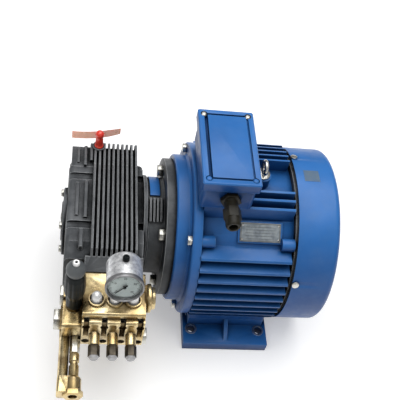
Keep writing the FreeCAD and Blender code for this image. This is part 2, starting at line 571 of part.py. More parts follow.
def crankcase():
    """Finned crankcase with the head flange, guide bores, bearing bores and an open rear."""
    body = extruded(CASE_X0, CASE_X1, [
        (CASE_FRONT_Y, CASE_BOTTOM_Z + 8), (CASE_FRONT_Y, CASE_TOP_Z - 14), (CASE_FRONT_Y + 20, CASE_TOP_Z),
        (CASE_REAR_Y, CASE_TOP_Z), (CASE_REAR_Y, CASE_BOTTOM_Z), (CASE_FRONT_Y + 14, CASE_BOTTOM_Z)])
    flange = extruded(HEAD_X0, HEAD_X1 - 4, [
        (HEAD_REAR_Y, HEAD_Z0), (HEAD_REAR_Y, HEAD_Z1 - 1), (CASE_FRONT_Y + 1, CASE_TOP_Z - 7),
        (CASE_FRONT_Y + 1, HEAD_Z0)])
    shoulder = [e for e in body.Edges if e.BoundBox.XMax < CASE_X0 + 0.1 and e.BoundBox.YLength > 1
                and e.BoundBox.ZMax > CASE_TOP_Z - 0.1]
    body = body.makeFillet(CASE_SHOULDER_R, shoulder)
    solids = [body, flange, cylinder("x", 0, SHAFT_Z, CASE_X1, RIGHT_BEARING_X + 18, 42)]
    solids += [deck_rib(x, 6.0, y0, y1, rise) for x, y0, y1, rise in DECK_RIBS]
    for x in case_fin_places():
        solids.append(extruded(x - CASE_FIN_THICK / 2, x + CASE_FIN_THICK / 2, [
            (CASE_FRONT_Y - 2, CASE_TOP_Z - 12), (CASE_FRONT_Y + 6, FIN_TOP_Z - 3),
            (CASE_FRONT_Y + 18, FIN_TOP_Z), (CASE_REAR_Y, FIN_TOP_Z), (CASE_REAR_Y, CASE_TOP_Z - 10)]))
    case = joined(solids)
    holes = [box(CAVITY_X0, CAVITY_X1, CAVITY_Y, CASE_REAR_Y, CASE_BOTTOM_Z + 8, CASE_TOP_Z - 8)]
    holes.append(cylinder("x", 0, SHAFT_Z, CASE_X0, LEFT_BEARING_X + CRANK_BEARING_WIDTH, CRANK_BEARING_R))
    holes.append(cylinder("x", 0, SHAFT_Z, LEFT_BEARING_X, CAVITY_X0, 22))
    holes.append(cylinder("x", 0, SHAFT_Z, RIGHT_BEARING_X, RIGHT_BEARING_X + 18, CRANK_BEARING_R))
    holes.append(cylinder("x", 0, SHAFT_Z, CAVITY_X1, RIGHT_BEARING_X, 22))
    for x in CYLINDER_X:
        holes.append(cylinder("y", x, SHAFT_Z, CASE_FRONT_Y - 6, -30, GUIDE_R + RUN_GAP))
        holes.append(cylinder("y", x, SHAFT_Z, HEAD_REAR_Y, CASE_FRONT_Y - 6, 10.9))
    for z in HEAD_BOLT_Z:
        holes += [cylinder("y", x, z, HEAD_REAR_Y, HEAD_REAR_Y + 16, 3.0) for x in HEAD_BOLT_X]
    holes += [cylinder("x", y, z, CASE_X0, CASE_X0 + 10, 3.0) for y, z in around_shaft(BEARING_SCREW_R)]
    holes += [cylinder("x", y, z, CASE_X1 - 10, CASE_X1, 3.0) for y, z in bell_screw_places()]
    holes += [cylinder("y", x, z, CASE_REAR_Y - 12, CASE_REAR_Y, 2.0) for x, z in rear_screw_places()]
    for x0, x1 in ((CASE_X0, CASE_FIN_X - 2), (case_fin_places()[-1] + 2, CASE_X1)):
        holes.append(box(x0, x1, -50, -38, CASE_TOP_Z - 5, CASE_TOP_Z + 9))
        holes.append(box(x0, x1, 36, 48, CASE_TOP_Z - 4, CASE_TOP_Z + 9))
    return drilled(case, holes)


def rear_screw_places():
    """(x, z) of the rear cover's screws."""
    return [(x, z) for x in (CASE_X0 + 8, CASE_X1 - 4.3)
            for z in (CASE_BOTTOM_Z + 12, SHAFT_Z, CASE_TOP_Z - 14)]


def rear_cover():
    """Rear cover of the crankcase: hollow, finned, with a filler boss and a screwed flange."""
    x0, x1 = CASE_X0 + 3, CASE_X1 - 9
    dome = extruded(x0, x1, [
        (CASE_REAR_Y, CASE_BOTTOM_Z + 2), (REAR_COVER_Y - 10, CASE_BOTTOM_Z + 2),
        (REAR_COVER_Y, CASE_BOTTOM_Z + 16), (REAR_COVER_Y, CASE_TOP_Z - 10),
        (REAR_COVER_Y - 7, CASE_TOP_Z), (CASE_REAR_Y, CASE_TOP_Z)])
    flange = box(CASE_X0 + 1, CASE_X1, CASE_REAR_Y, CASE_REAR_Y + 8, CASE_BOTTOM_Z + 1, CASE_TOP_Z - 1)
    solids = [dome, rounded(flange, 7, "y"),
              cylinder("z", OIL_X, OIL_Y, CASE_TOP_Z - 20, FIN_TOP_Z + 2, OIL_BOSS_R)]
    solids += [deck_rib(x, 4.5, y0, y1, rise) for x, y0, y1, rise in REAR_RIBS]
    for x in case_fin_places():
        solids.append(extruded(x - CASE_FIN_THICK / 2, x + CASE_FIN_THICK / 2, [
            (CASE_REAR_Y, CASE_TOP_Z - 10), (CASE_REAR_Y, FIN_TOP_Z), (REAR_COVER_Y - 4, FIN_TOP_Z),
            (REAR_COVER_Y + 6, FIN_TOP_Z - 12), (REAR_COVER_Y + 6, CASE_BOTTOM_Z + 20),
            (REAR_COVER_Y - 6, CASE_BOTTOM_Z + 10)]))
    cover = joined(solids)
    holes = [box(x0 + 18, x1 - 6, CASE_REAR_Y, REAR_COVER_Y - 6, CASE_BOTTOM_Z + 20, CASE_TOP_Z - 16)]
    holes.append(cylinder("z", OIL_X, OIL_Y, CASE_TOP_Z - 40, FIN_TOP_Z + 2, 5.0))
    holes += [cylinder("y", x, z, CASE_REAR_Y + 8, REAR_COVER_Y + 8, 6.4) for x, z in rear_screw_places()]
    holes += [cylinder("y", x, z, CASE_REAR_Y, CASE_REAR_Y + 8, 2.0) for x, z in rear_screw_places()]
    return drilled(cover, holes)


def crankcase_screws():
    """Hexagon screws of the rear cover and of the left bearing cover."""
    screws = [hex_bolt("y", x, z, CASE_REAR_Y + 12, CASE_REAR_Y + 8, CASE_REAR_Y - 11, 7, 2.0)
              for x, z in rear_screw_places()]
    screws += [hex_bolt("x", y, z, CASE_X0 - 9, CASE_X0 - 5, CASE_X0 + 9, 10, 3.0)
               for y, z in around_shaft(BEARING_SCREW_R)]
    return Part.makeCompound(screws)


def bearing_cover():
    """Round cover over the left crank bearing, with a raised centre and a locating spigot."""
    cover = turned("x", 0, SHAFT_Z, [
        (LEFT_BEARING_X, 18), (LEFT_BEARING_X, CRANK_BEARING_R), (CASE_X0, CRANK_BEARING_R),
        (CASE_X0, BEARING_COVER_R), (CASE_X0 - 4, BEARING_COVER_R), (CASE_X0 - 5, BEARING_COVER_R - 1),
        (CASE_X0 - 5, 30), (CASE_X0 - 7, 28), (CASE_X0 - 7, 0), (CASE_X0 - 2, 0), (CASE_X0 - 2, 18)])
    holes = [cylinder("x", y, z, CASE_X0 - 5, CASE_X0, 3.0) for y, z in around_shaft(BEARING_SCREW_R)]
    return drilled(cover, holes)


# ---- Crank train ----
def crank_pin_centre(index):
    """(y, z) of a crank pin at rest; the three pins are a third of a turn apart."""
    angle = math.radians(90.0 + 120.0 * index)
    return THROW * math.cos(angle), SHAFT_Z + THROW * math.sin(angle)


def crankshaft():
    """Three-throw crankshaft with plain webs."""
    solids = [cylinder("x", 0, SHAFT_Z, LEFT_BEARING_X - 1, CYLINDER_X[0] - 12, JOURNAL_R),
              cylinder("x", 0, SHAFT_Z, CYLINDER_X[2] + 6, JAW_X0 - 1, JOURNAL_R)]
    for index, x in enumerate(CYLINDER_X):
        y, z = crank_pin_centre(index)
        solids.append(cylinder("x", y, z, x - PIN_WIDTH / 2, x + PIN_WIDTH / 2, PIN_R))
    for x0, x1 in ((CYLINDER_X[0] - 12, CYLINDER_X[0] - 6), (CYLINDER_X[0] + 6, CYLINDER_X[1] - 6),
                   (CYLINDER_X[1] + 6, CYLINDER_X[2] - 6), (CYLINDER_X[2] + 6, CYLINDER_X[2] + 8.5)):
        solids.append(cylinder("x", 0, SHAFT_Z, x0, x1, 21))
    return joined(solids)


def crank_bearings():
    """Main bearings of the crankshaft."""
    return Part.makeCompound([
        tube("x", 0, SHAFT_Z, x, x + CRANK_BEARING_WIDTH, CRANK_BEARING_R, JOURNAL_R + RUN_GAP)
        for x in (LEFT_BEARING_X, RIGHT_BEARING_X)])


def connecting_rod(index):
    """Connecting rod with its wrist pin pressed into the small end."""
    x = CYLINDER_X[index]
    y, z = crank_pin_centre(index)
    wrist = y - ROD_LENGTH
    rod = joined([
        cylinder("x", y, z, x - 5.8, x + 5.8, 19), cylinder("x", wrist, z, x - 5, x + 5, 6.5),
        box(x - 3.5, x + 3.5, wrist, y, z - 4, z + 4)])
    rod = rod.cut([cylinder("x", y, z, x - 6, x + 6, PIN_R + RUN_GAP),
                   cylinder("x", wrist, z, x - 5, x + 5, WRIST_PIN_R)])
    return Part.makeCompound([rod, cylinder("x", wrist, z, x - 5.5, x + 5.5, WRIST_PIN_R)])


def plunger(index):
    """Crosshead with a forked rear end, and the ceramic plunger screwed to its front."""
    x = CYLINDER_X[index]
    crosshead = cylinder("y", x, SHAFT_Z, -88, -40, GUIDE_R)
    crosshead = crosshead.cut(box(x - 6.2, x + 6.2, -70, -40, SHAFT_Z - 12, SHAFT_Z + 12))
    ceramic = cylinder("y", x, SHAFT_Z, PLUNGER_FRONT_Y, -88, PLUNGER_R)
    return Part.makeCompound([crosshead, ceramic])


def seals():
    """Lip seals of the crankshaft and crossheads, and the plungers' high-pressure packings."""
    parts = [tube("x", 0, SHAFT_Z, RIGHT_BEARING_X + CRANK_BEARING_WIDTH, RIGHT_BEARING_X + 18,
                  CRANK_BEARING_R, JOURNAL_R + RUN_GAP)]
    for x in CYLINDER_X:
        parts.append(tube("y", x, SHAFT_Z, HEAD_REAR_Y + 1, HEAD_REAR_Y + 7, 10.9, PLUNGER_R + RUN_GAP))
        parts.append(tube("y", x, SHAFT_Z, HEAD_REAR_Y - 12, HEAD_REAR_Y, PACKING_R, PLUNGER_R + RUN_GAP))
    return Part.makeCompound(parts)


# ---- Pump head ----
def pump_head():
    """Forged brass head: chambers, valve bores and galleries, front pad and bosses, top bosses."""
    block = rounded(box(HEAD_X0, HEAD_X1, HEAD_FRONT_Y, HEAD_REAR_Y, HEAD_Z0, HEAD_Z1), 4, "x")
    pad = box(HEAD_X0, HEAD_X1, PAD_FRONT_Y, HEAD_FRONT_Y + 2, SHAFT_Z - 31, SHAFT_Z + 29)
    solids = [block, rounded(pad, 4, "x")]
    for x in CYLINDER_X:
        solids.append(cylinder("y", x, SHAFT_Z, SUCTION_SEAT_Y, HEAD_FRONT_Y + 5, SUCTION_BOSS_R))
        solids.append(cylinder("z", x, VALVE_Y, HEAD_Z1 - 5, HEAD_Z1 + 6, DELIVERY_BOSS_R))
    return drilled(joined(solids), valve_bores() + head_bolt_holes() + head_ports())


def valve_bores():
    """Chambers, packing bores and valve bores of the three cylinders."""
    holes = []
    for x in CYLINDER_X:
        holes.append(cylinder("y", x, SHAFT_Z, CHAMBER_Y, HEAD_REAR_Y, CHAMBER_R))
        holes.append(cylinder("y", x, SHAFT_Z, HEAD_REAR_Y - 12, HEAD_REAR_Y, PACKING_R))
        holes.append(cylinder("y", x, SHAFT_Z, CHAMBER_Y - 4, CHAMBER_Y, VALVE_SEAT_R))
        holes.append(cylinder("y", x, SHAFT_Z, SUCTION_SEAT_Y, CHAMBER_Y - 4, SUCTION_BORE))
        holes.append(cylinder("z", x, VALVE_Y, SHAFT_Z, DELIVERY_SEAT_Z, VALVE_SEAT_R))
        holes.append(cylinder("z", x, VALVE_Y, DELIVERY_SEAT_Z, HEAD_Z1, VALVE_BORE))
        holes.append(cylinder("z", x, VALVE_Y, HEAD_Z1 - 3, HEAD_Z1 + 6, DELIVERY_RECESS_R))
        holes.append(cylinder("z", x, SUCTION_Y - 1.2, SUCTION_Z + 1, SHAFT_Z - 2, 2.5))
    return holes


def head_bolt_holes():
    """Clearance holes and head recesses of the eight bolts, with open slots over the upper row."""
    lower_z, upper_z = HEAD_BOLT_Z
    holes = []
    for x in HEAD_BOLT_X:
        for z in HEAD_BOLT_Z:
            holes.append(cylinder("y", x, z, PAD_FRONT_Y, HEAD_REAR_Y, 3.3))
        holes.append(cylinder("y", x, upper_z, PAD_FRONT_Y, HEAD_FRONT_Y + 9, BOLT_HEAD_R + 0.3))
        holes.append(cylinder("y", x, lower_z, PAD_FRONT_Y, HEAD_FRONT_Y + 1, BOLT_HEAD_R + 0.3))
        holes.append(box(x - 3.6, x + 3.6, PAD_FRONT_Y, HEAD_FRONT_Y + 3, upper_z - 24, upper_z + 11))
    return holes


def head_ports():
    """Delivery and suction galleries, the two banjo ports and the gauge port."""
    return [
        cylinder("x", DELIVERY_GALLERY_Y, DELIVERY_Z, HEAD_X0, HEAD_X1, GALLERY_R),
        cylinder("x", SUCTION_Y, SUCTION_Z, HEAD_X0 + 4, HEAD_X1, GALLERY_R),
        cylinder("x", UPPER_BANJO_Y, UPPER_BANJO_Z, HEAD_X0, HEAD_X0 + 7, GALLERY_R),
        cylinder("x", LOWER_BANJO_Y, LOWER_BANJO_Z, HEAD_X0, HEAD_X0 + 12.5, GALLERY_R),
        cylinder("y", HEAD_X0 + 9, SUCTION_Z + 1.5, SUCTION_Y - 1, LOWER_BANJO_Y + 1, 2.0),
        cylinder("z", GAUGE_X, GAUGE_STEM_Y, HEAD_Z1 - 6, HEAD_Z1, 4.0)]


def head_bolts():
    """Eight socket head bolts that clamp the head to the crankcase."""
    bolts = []
    for x in HEAD_BOLT_X:
        for z, seat in zip(HEAD_BOLT_Z, (HEAD_FRONT_Y + 1, HEAD_FRONT_Y + 9)):
            bolts.append(socket_bolt("y", x, z, seat - 7, seat, HEAD_REAR_Y + 15, BOLT_HEAD_R, 3.0))
    return Part.makeCompound(bolts)


def delivery_caps():
    """Tall domed plugs over the three delivery valves, each standing in a recess of its boss."""
    seat = HEAD_Z1 - 3
    caps = []
    for x in CYLINDER_X:
        caps.append(turned("z", x, VALVE_Y, [
            (seat - 4, 0), (seat - 4, VALVE_BORE), (seat, VALVE_BORE), (seat, 6.8), (seat + 16, 6.8),
            (seat + 20, 4.5), (seat + 21, 2.5), (seat + 21, 0)]))
    return Part.makeCompound(caps)


def suction_caps():
    """Hexagon plugs over the three suction valves on the front of the head."""
    seat = SUCTION_SEAT_Y
    caps = []
    for x in CYLINDER_X:
        cap = prism("y", x, SHAFT_Z, seat - 16, seat, 13.6)
        dome = turned("y", x, SHAFT_Z, [
            (seat - 19, 0), (seat - 19, 5), (seat - 16, 6.7), (seat, 6.7), (seat, 0)])
        caps.append(joined([cap, dome, cylinder("y", x, SHAFT_Z, seat, seat + 14, SUCTION_BORE)]))
    return Part.makeCompound(caps)


def suction_valve(index):
    """Suction poppet; it lifts off its seat towards the plunger."""
    x = CYLINDER_X[index]
    return joined([cylinder("y", x, SHAFT_Z, CHAMBER_Y, CHAMBER_Y + 2, 6.5),
                   cylinder("y", x, SHAFT_Z, CHAMBER_Y - 7, CHAMBER_Y, 2.0)])


def delivery_valve(index):
    """Delivery poppet; it lifts off its seat towards the cap."""
    x = CYLINDER_X[index]
    seat = DELIVERY_SEAT_Z
    return joined([cylinder("z", x, VALVE_Y, seat, seat + 2, 6.5),
                   cylinder("z", x, VALVE_Y, seat + 2, seat + 8, 2.0)])


def inlet_fitting():
    """Stepped water inlet on the head's right end, with its threaded mouth facing +X."""
    body = turned("x", DELIVERY_Y, DELIVERY_Z, [
        (HEAD_X1, 0), (HEAD_X1, 17), (HEAD_X1 + 3, 19.5), (HEAD_X1 + 7, 19.5), (HEAD_X1 + 8, 15.5),
        (HEAD_X1 + 13, 14.5), (HEAD_X1 + 13, 0)])
    return body.cut(cylinder("x", DELIVERY_Y, DELIVERY_Z, HEAD_X1 + 1, HEAD_X1 + 13, 9.5))


def gallery_bolts():
    """Hexagon plug of the suction gallery and the two banjo bolts that hold the unloader."""
    plug = prism("x", SUCTION_Y, SUCTION_Z, HEAD_X1, HEAD_X1 + 7, 22)
    shank = cylinder("x", SUCTION_Y, SUCTION_Z, HEAD_X1 - 10, HEAD_X1, GALLERY_R)
    tip = HEAD_X0 + 6
    upper = hex_bolt("x", UPPER_BANJO_Y, UPPER_BANJO_Z, UNLOADER_X0 - 5, UNLOADER_X0, tip, 27, GALLERY_R)
    lower = hex_bolt("x", LOWER_BANJO_Y, LOWER_BANJO_Z, BOSS_X0 - 9, BOSS_X0, tip, 28, GALLERY_R)
    return Part.makeCompound([plug.fuse(shank), upper, lower])


# ---- Unloader, outlet, gauge, oil plug ----
def unloader_body():
    """Brass valve block beside the head, with the threaded tube under the knob."""
    block = box(UNLOADER_X0, HEAD_X0, -180, -132, 86, 146)
    arm = box(UNLOADER_X0, HEAD_X0, -138.5, UPPER_BANJO_Y + 12, UPPER_BANJO_Z - 14, UPPER_BANJO_Z + 12)
    boss = box(BOSS_X0, UNLOADER_X0 + 4, -174, -133, 89, 123)
    tube_solid = cylinder("z", KNOB_X, KNOB_Y, 146, 205, 9.4)
    solids = [rounded(block, 5, "x"), arm, rounded(boss, 5, "x"), tube_solid]
    holes = [cylinder("z", KNOB_X, KNOB_Y, 150, 205, 7.0)]
    holes.append(cylinder("x", LOWER_BANJO_Y, LOWER_BANJO_Z, BOSS_X0, HEAD_X0, GALLERY_R))
    holes.append(cylinder("x", UPPER_BANJO_Y, UPPER_BANJO_Z, UNLOADER_X0, HEAD_X0, GALLERY_R))
    return drilled(joined(solids), holes)


def unloader_knob():
    """Hand knob: a long fluted sleeve closed by a domed top with a locking screw."""
    z0, z1 = KNOB_Z0, KNOB_Z1
    knob = turned("z", KNOB_X, KNOB_Y, [
        (z0, 0), (z0, 10.6), (z0 + 23, 11), (z0 + 31, 13.6), (z0 + 60, 14), (z0 + 84, 13.2), (z1 - 9, 11.6),
        (z1 - 4, 9.5), (z1, 6.0), (z1, 0)])
    return drilled(knob, [cylinder("z", KNOB_X, KNOB_Y, z0, z1 - 10, 9.7),
                          cylinder("z", KNOB_X, KNOB_Y, z1 - 10, z1 - 5, 3.0)])


def spring_plate():
    """Stem and plate that the knob presses down on the unloader spring."""
    return joined([cylinder("z", KNOB_X, KNOB_Y, 213, 216, 6.8),
                   cylinder("z", KNOB_X, KNOB_Y, 216, KNOB_Z1 - 5, 3.0 - RUN_GAP)])


def outlet_nut():
    """Plated hexagon that joins the barrel to the valve block."""
    return prism("y", OUTLET_X, OUTLET_Z, -204, -180, 12)


def outlet_block():
    """Brass outlet: bypass bar, necked barrel, and a tee body with a hexagon mouth facing -Y."""
    body_y1 = OUTLET_Y + 26
    foot = box(OUTLET_X - 21, OUTLET_X, OUTLET_Y + 4, body_y1, OUTLET_Z - 13, OUTLET_Z + 8)
    barrel = turned("y", OUTLET_X, OUTLET_Z, [
        (OUTLET_Y + 6, 0), (OUTLET_Y + 6, 10.6), (body_y1 - 3, 10.6), (body_y1, 8.5), (body_y1, 6.6),
        (-222, 6.6), (-221, 5.2), (-217, 5.2), (-216, 6.6), (-206, 6.6), (-204, 5.8), (-204, 0)])
    mouth = prism("y", OUTLET_X, OUTLET_Z, OUTLET_Y, OUTLET_Y + 7, 23)
    bar = cylinder("y", BYPASS_X, BYPASS_Z, body_y1 - 6, -180, 6.9)
    block = joined([rounded(foot, 4, "y"), barrel, mouth, bar])
    port = cylinder("y", OUTLET_X, OUTLET_Z, OUTLET_Y, OUTLET_Y + OUTLET_PORT_DEPTH, OUTLET_PORT_R)
    return drilled(block, [port])


def tilted(solid):
    """The solid turned about the centre of the dial, so that the dial looks upwards a little."""
    solid.rotate(Vector(GAUGE_X, DIAL_Y, GAUGE_Z), Vector(1, 0, 0), -GAUGE_TILT)
    return solid


def gauge_case():
    """Pressure gauge case with a rolled bezel, a filler plug and a bottom stem into the head."""
    front, back = GAUGE_FRONT_Y, GAUGE_BACK_Y
    cup = turned("y", GAUGE_X, GAUGE_Z, [
        (front, GAUGE_R - 3), (front, GAUGE_R - 1), (front + 1.5, GAUGE_R), (front + 7, GAUGE_R),
        (front + 8, GAUGE_R - 1.5), (back - 4, GAUGE_R - 1.5), (back, GAUGE_R - 5), (back, 0),
        (back - 3, 0), (back - 3, GAUGE_R - 7), (front + 8, GAUGE_R - 4), (DIAL_Y, GAUGE_R - 4),
        (DIAL_Y, GAUGE_R - 3)])
    plug = cylinder("z", GAUGE_X, FILLER_Y, GAUGE_Z + GAUGE_R - 5, GAUGE_Z + GAUGE_R + 5, FILLER_R)
    stem = joined([cylinder("z", GAUGE_X, GAUGE_STEM_Y, HEAD_Z1 - 6, HEAD_Z1, 4.0),
                   prism("z", GAUGE_X, GAUGE_STEM_Y, HEAD_Z1, HEAD_Z1 + 14, 13),
                   cylinder("z", GAUGE_X, GAUGE_STEM_Y, HEAD_Z1 + 14, GAUGE_Z - GAUGE_R, 5.0)])
    return joined([tilted(cup), tilted(plug), stem])


def gauge_needle():
    """Pointer on its spindle, resting at zero on the lower left of the dial."""
    y0 = GAUGE_FRONT_Y + 3
    needle = box(GAUGE_X - 5, GAUGE_X + 16, y0, y0 + 0.5, GAUGE_Z - 0.7, GAUGE_Z + 0.7)
    needle.rotate(Vector(GAUGE_X, 0, GAUGE_Z), Vector(0, 1, 0), 135)
    spindle = cylinder("y", GAUGE_X, GAUGE_Z, y0 - 1, GAUGE_FRONT_Y + 12, SPINDLE_R)
    return tilted(joined([needle, spindle]))


def gauge_dial():
    """Dial plate inside the case."""
    return tilted(tube("y", GAUGE_X, GAUGE_Z, DIAL_Y, DIAL_Y + 1, GAUGE_R - 4.05, SPINDLE_R + RUN_GAP))


def oil_plug():
    """Oil filler plug with a ball grip and a dipstick."""
    seat = FIN_TOP_Z + 2
    return joined([cylinder("z", OIL_X, OIL_Y, seat - 30, seat, 3.5),
                   cylinder("z", OIL_X, OIL_Y, seat, seat + 18, 6.5), ball(OIL_X, OIL_Y, seat + 24, 6.5)])


def build():
    """Every node of the assembly by name."""
    nodes = {
        "motor_frame": motor_frame(), "motor_feet": motor_feet(), "frame_bolts": frame_bolts(),
        "drive_end_shield": drive_end_shield(), "fan_end_shield": fan_end_shield(), "fan_cowl": fan_cowl(),
        "panel_screws": panel_screws(), "cooling_fan": cooling_fan(), "motor_shaft": motor_shaft(),
        "rotor_core": tube("x", 0, SHAFT_Z, -CORE_X, CORE_X, ROTOR_R, 22),
        "stator_core": tube("x", 0, SHAFT_Z, -CORE_X, CORE_X, STATOR_R, ROTOR_R + 0.5),
        "stator_windings": stator_windings(), "motor_bearings": motor_bearings(),
        "terminal_box": terminal_box(), "terminal_cover": terminal_cover(), "cable_gland": cable_gland(),
        "lifting_eye": lifting_eye(), "nameplate": nameplate_solid(BARREL_R + 3, BARREL_R + 4, 57, 26),
        "coupling_motor_half": coupling_half(JAW_X1, -84.0, 60.0, SHAFT_R),
        "coupling_spider": coupling_spider(),
        "coupling_pump_half": coupling_half(-127.0, JAW_X0, 0.0, JOURNAL_R),
        "bell_housing": bell_housing(), "bell_bolts": bell_bolts(), "coupling_cover": coupling_cover(),
        "crankcase": crankcase(), "rear_cover": rear_cover(), "crankcase_screws": crankcase_screws(),
        "bearing_cover": bearing_cover(), "crankshaft": crankshaft(), "crank_bearings": crank_bearings(),
        "seals": seals(), "pump_head": pump_head(), "head_bolts": head_bolts(),
        "delivery_caps": delivery_caps(), "suction_caps": suction_caps(), "inlet_fitting": inlet_fitting(),
        "gallery_bolts": gallery_bolts(), "unloader_body": unloader_body(), "outlet_nut": outlet_nut(),
        "outlet_block": outlet_block(), "unloader_knob": unloader_knob(), "spring_plate": spring_plate(),
        "unloader_spring": tube("z", KNOB_X, KNOB_Y, 165, 213, 6.5, 4.5),
        "unloader_piston": cylinder("z", KNOB_X, KNOB_Y, 150, 165, 7.0 - RUN_GAP),
        "gauge_case": gauge_case(), "gauge_dial": gauge_dial(), "gauge_needle": gauge_needle(),
        "oil_plug": oil_plug()}
    for index in range(len(CYLINDER_X)):
        nodes[f"connecting_rod_{index + 1}"] = connecting_rod(index)
        nodes[f"plunger_{index + 1}"] = plunger(index)
        nodes[f"suction_valve_{index + 1}"] = suction_valve(index)
        nodes[f"delivery_valve_{index + 1}"] = delivery_valve(index)
    return nodes


os.makedirs("parts", exist_ok=True)
for name, shape in build().items():
    if not shape.isValid():
        print("invalid:", name)
    shape.exportStep(f"parts/{name}.step")
    print(f"{name}: {len(shape.Solids)} solids, {shape.Volume / 1000:.1f} cm3")
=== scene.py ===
"""Looks of the pressure washer pump: materials, detailed pieces, floor, light and camera.

Everything is in metres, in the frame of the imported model: +X along the shaft towards the fan,
+Z up, and the pump head faces -Y.
"""
import json
import math

import bmesh
import bpy
from mathutils import Matrix, Vector


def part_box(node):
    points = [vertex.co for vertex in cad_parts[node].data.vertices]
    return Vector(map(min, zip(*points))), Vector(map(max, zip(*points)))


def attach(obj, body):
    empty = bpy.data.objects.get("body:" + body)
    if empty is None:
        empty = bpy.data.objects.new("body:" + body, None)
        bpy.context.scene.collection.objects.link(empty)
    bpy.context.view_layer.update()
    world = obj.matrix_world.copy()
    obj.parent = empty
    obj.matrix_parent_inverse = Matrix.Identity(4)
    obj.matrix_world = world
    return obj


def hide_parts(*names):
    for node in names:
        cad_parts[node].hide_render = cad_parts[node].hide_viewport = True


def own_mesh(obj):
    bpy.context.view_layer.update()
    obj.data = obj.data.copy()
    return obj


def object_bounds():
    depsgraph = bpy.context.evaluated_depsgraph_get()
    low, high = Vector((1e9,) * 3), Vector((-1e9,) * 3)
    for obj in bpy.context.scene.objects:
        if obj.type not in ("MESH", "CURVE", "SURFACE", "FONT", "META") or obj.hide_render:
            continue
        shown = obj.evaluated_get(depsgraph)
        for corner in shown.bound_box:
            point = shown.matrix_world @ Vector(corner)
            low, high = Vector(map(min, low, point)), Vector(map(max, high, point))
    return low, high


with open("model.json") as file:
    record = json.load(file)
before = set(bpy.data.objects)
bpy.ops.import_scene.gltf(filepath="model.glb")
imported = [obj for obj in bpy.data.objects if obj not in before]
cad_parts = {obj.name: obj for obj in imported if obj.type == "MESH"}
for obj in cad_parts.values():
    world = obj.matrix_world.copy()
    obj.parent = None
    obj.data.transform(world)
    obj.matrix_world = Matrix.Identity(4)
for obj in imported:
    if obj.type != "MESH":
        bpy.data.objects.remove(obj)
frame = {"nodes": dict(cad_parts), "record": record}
cad_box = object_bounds()
NODES = frame["nodes"]
RECORD = frame["record"]
BODY_OF = {node: body for body, members in RECORD["behaviour"]["bodies"].items() for node in members}
SLOT_OF = {part["node"]: part["material_slot"] for part in RECORD["subparts"]}

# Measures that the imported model's boxes don't give.
SHAFT_HEIGHT = 0.132
COWL_RADIUS = 0.129
FOOT_HOLE_X, FOOT_HOLE_Y, FOOT_TOP = 0.0525, 0.108, 0.018


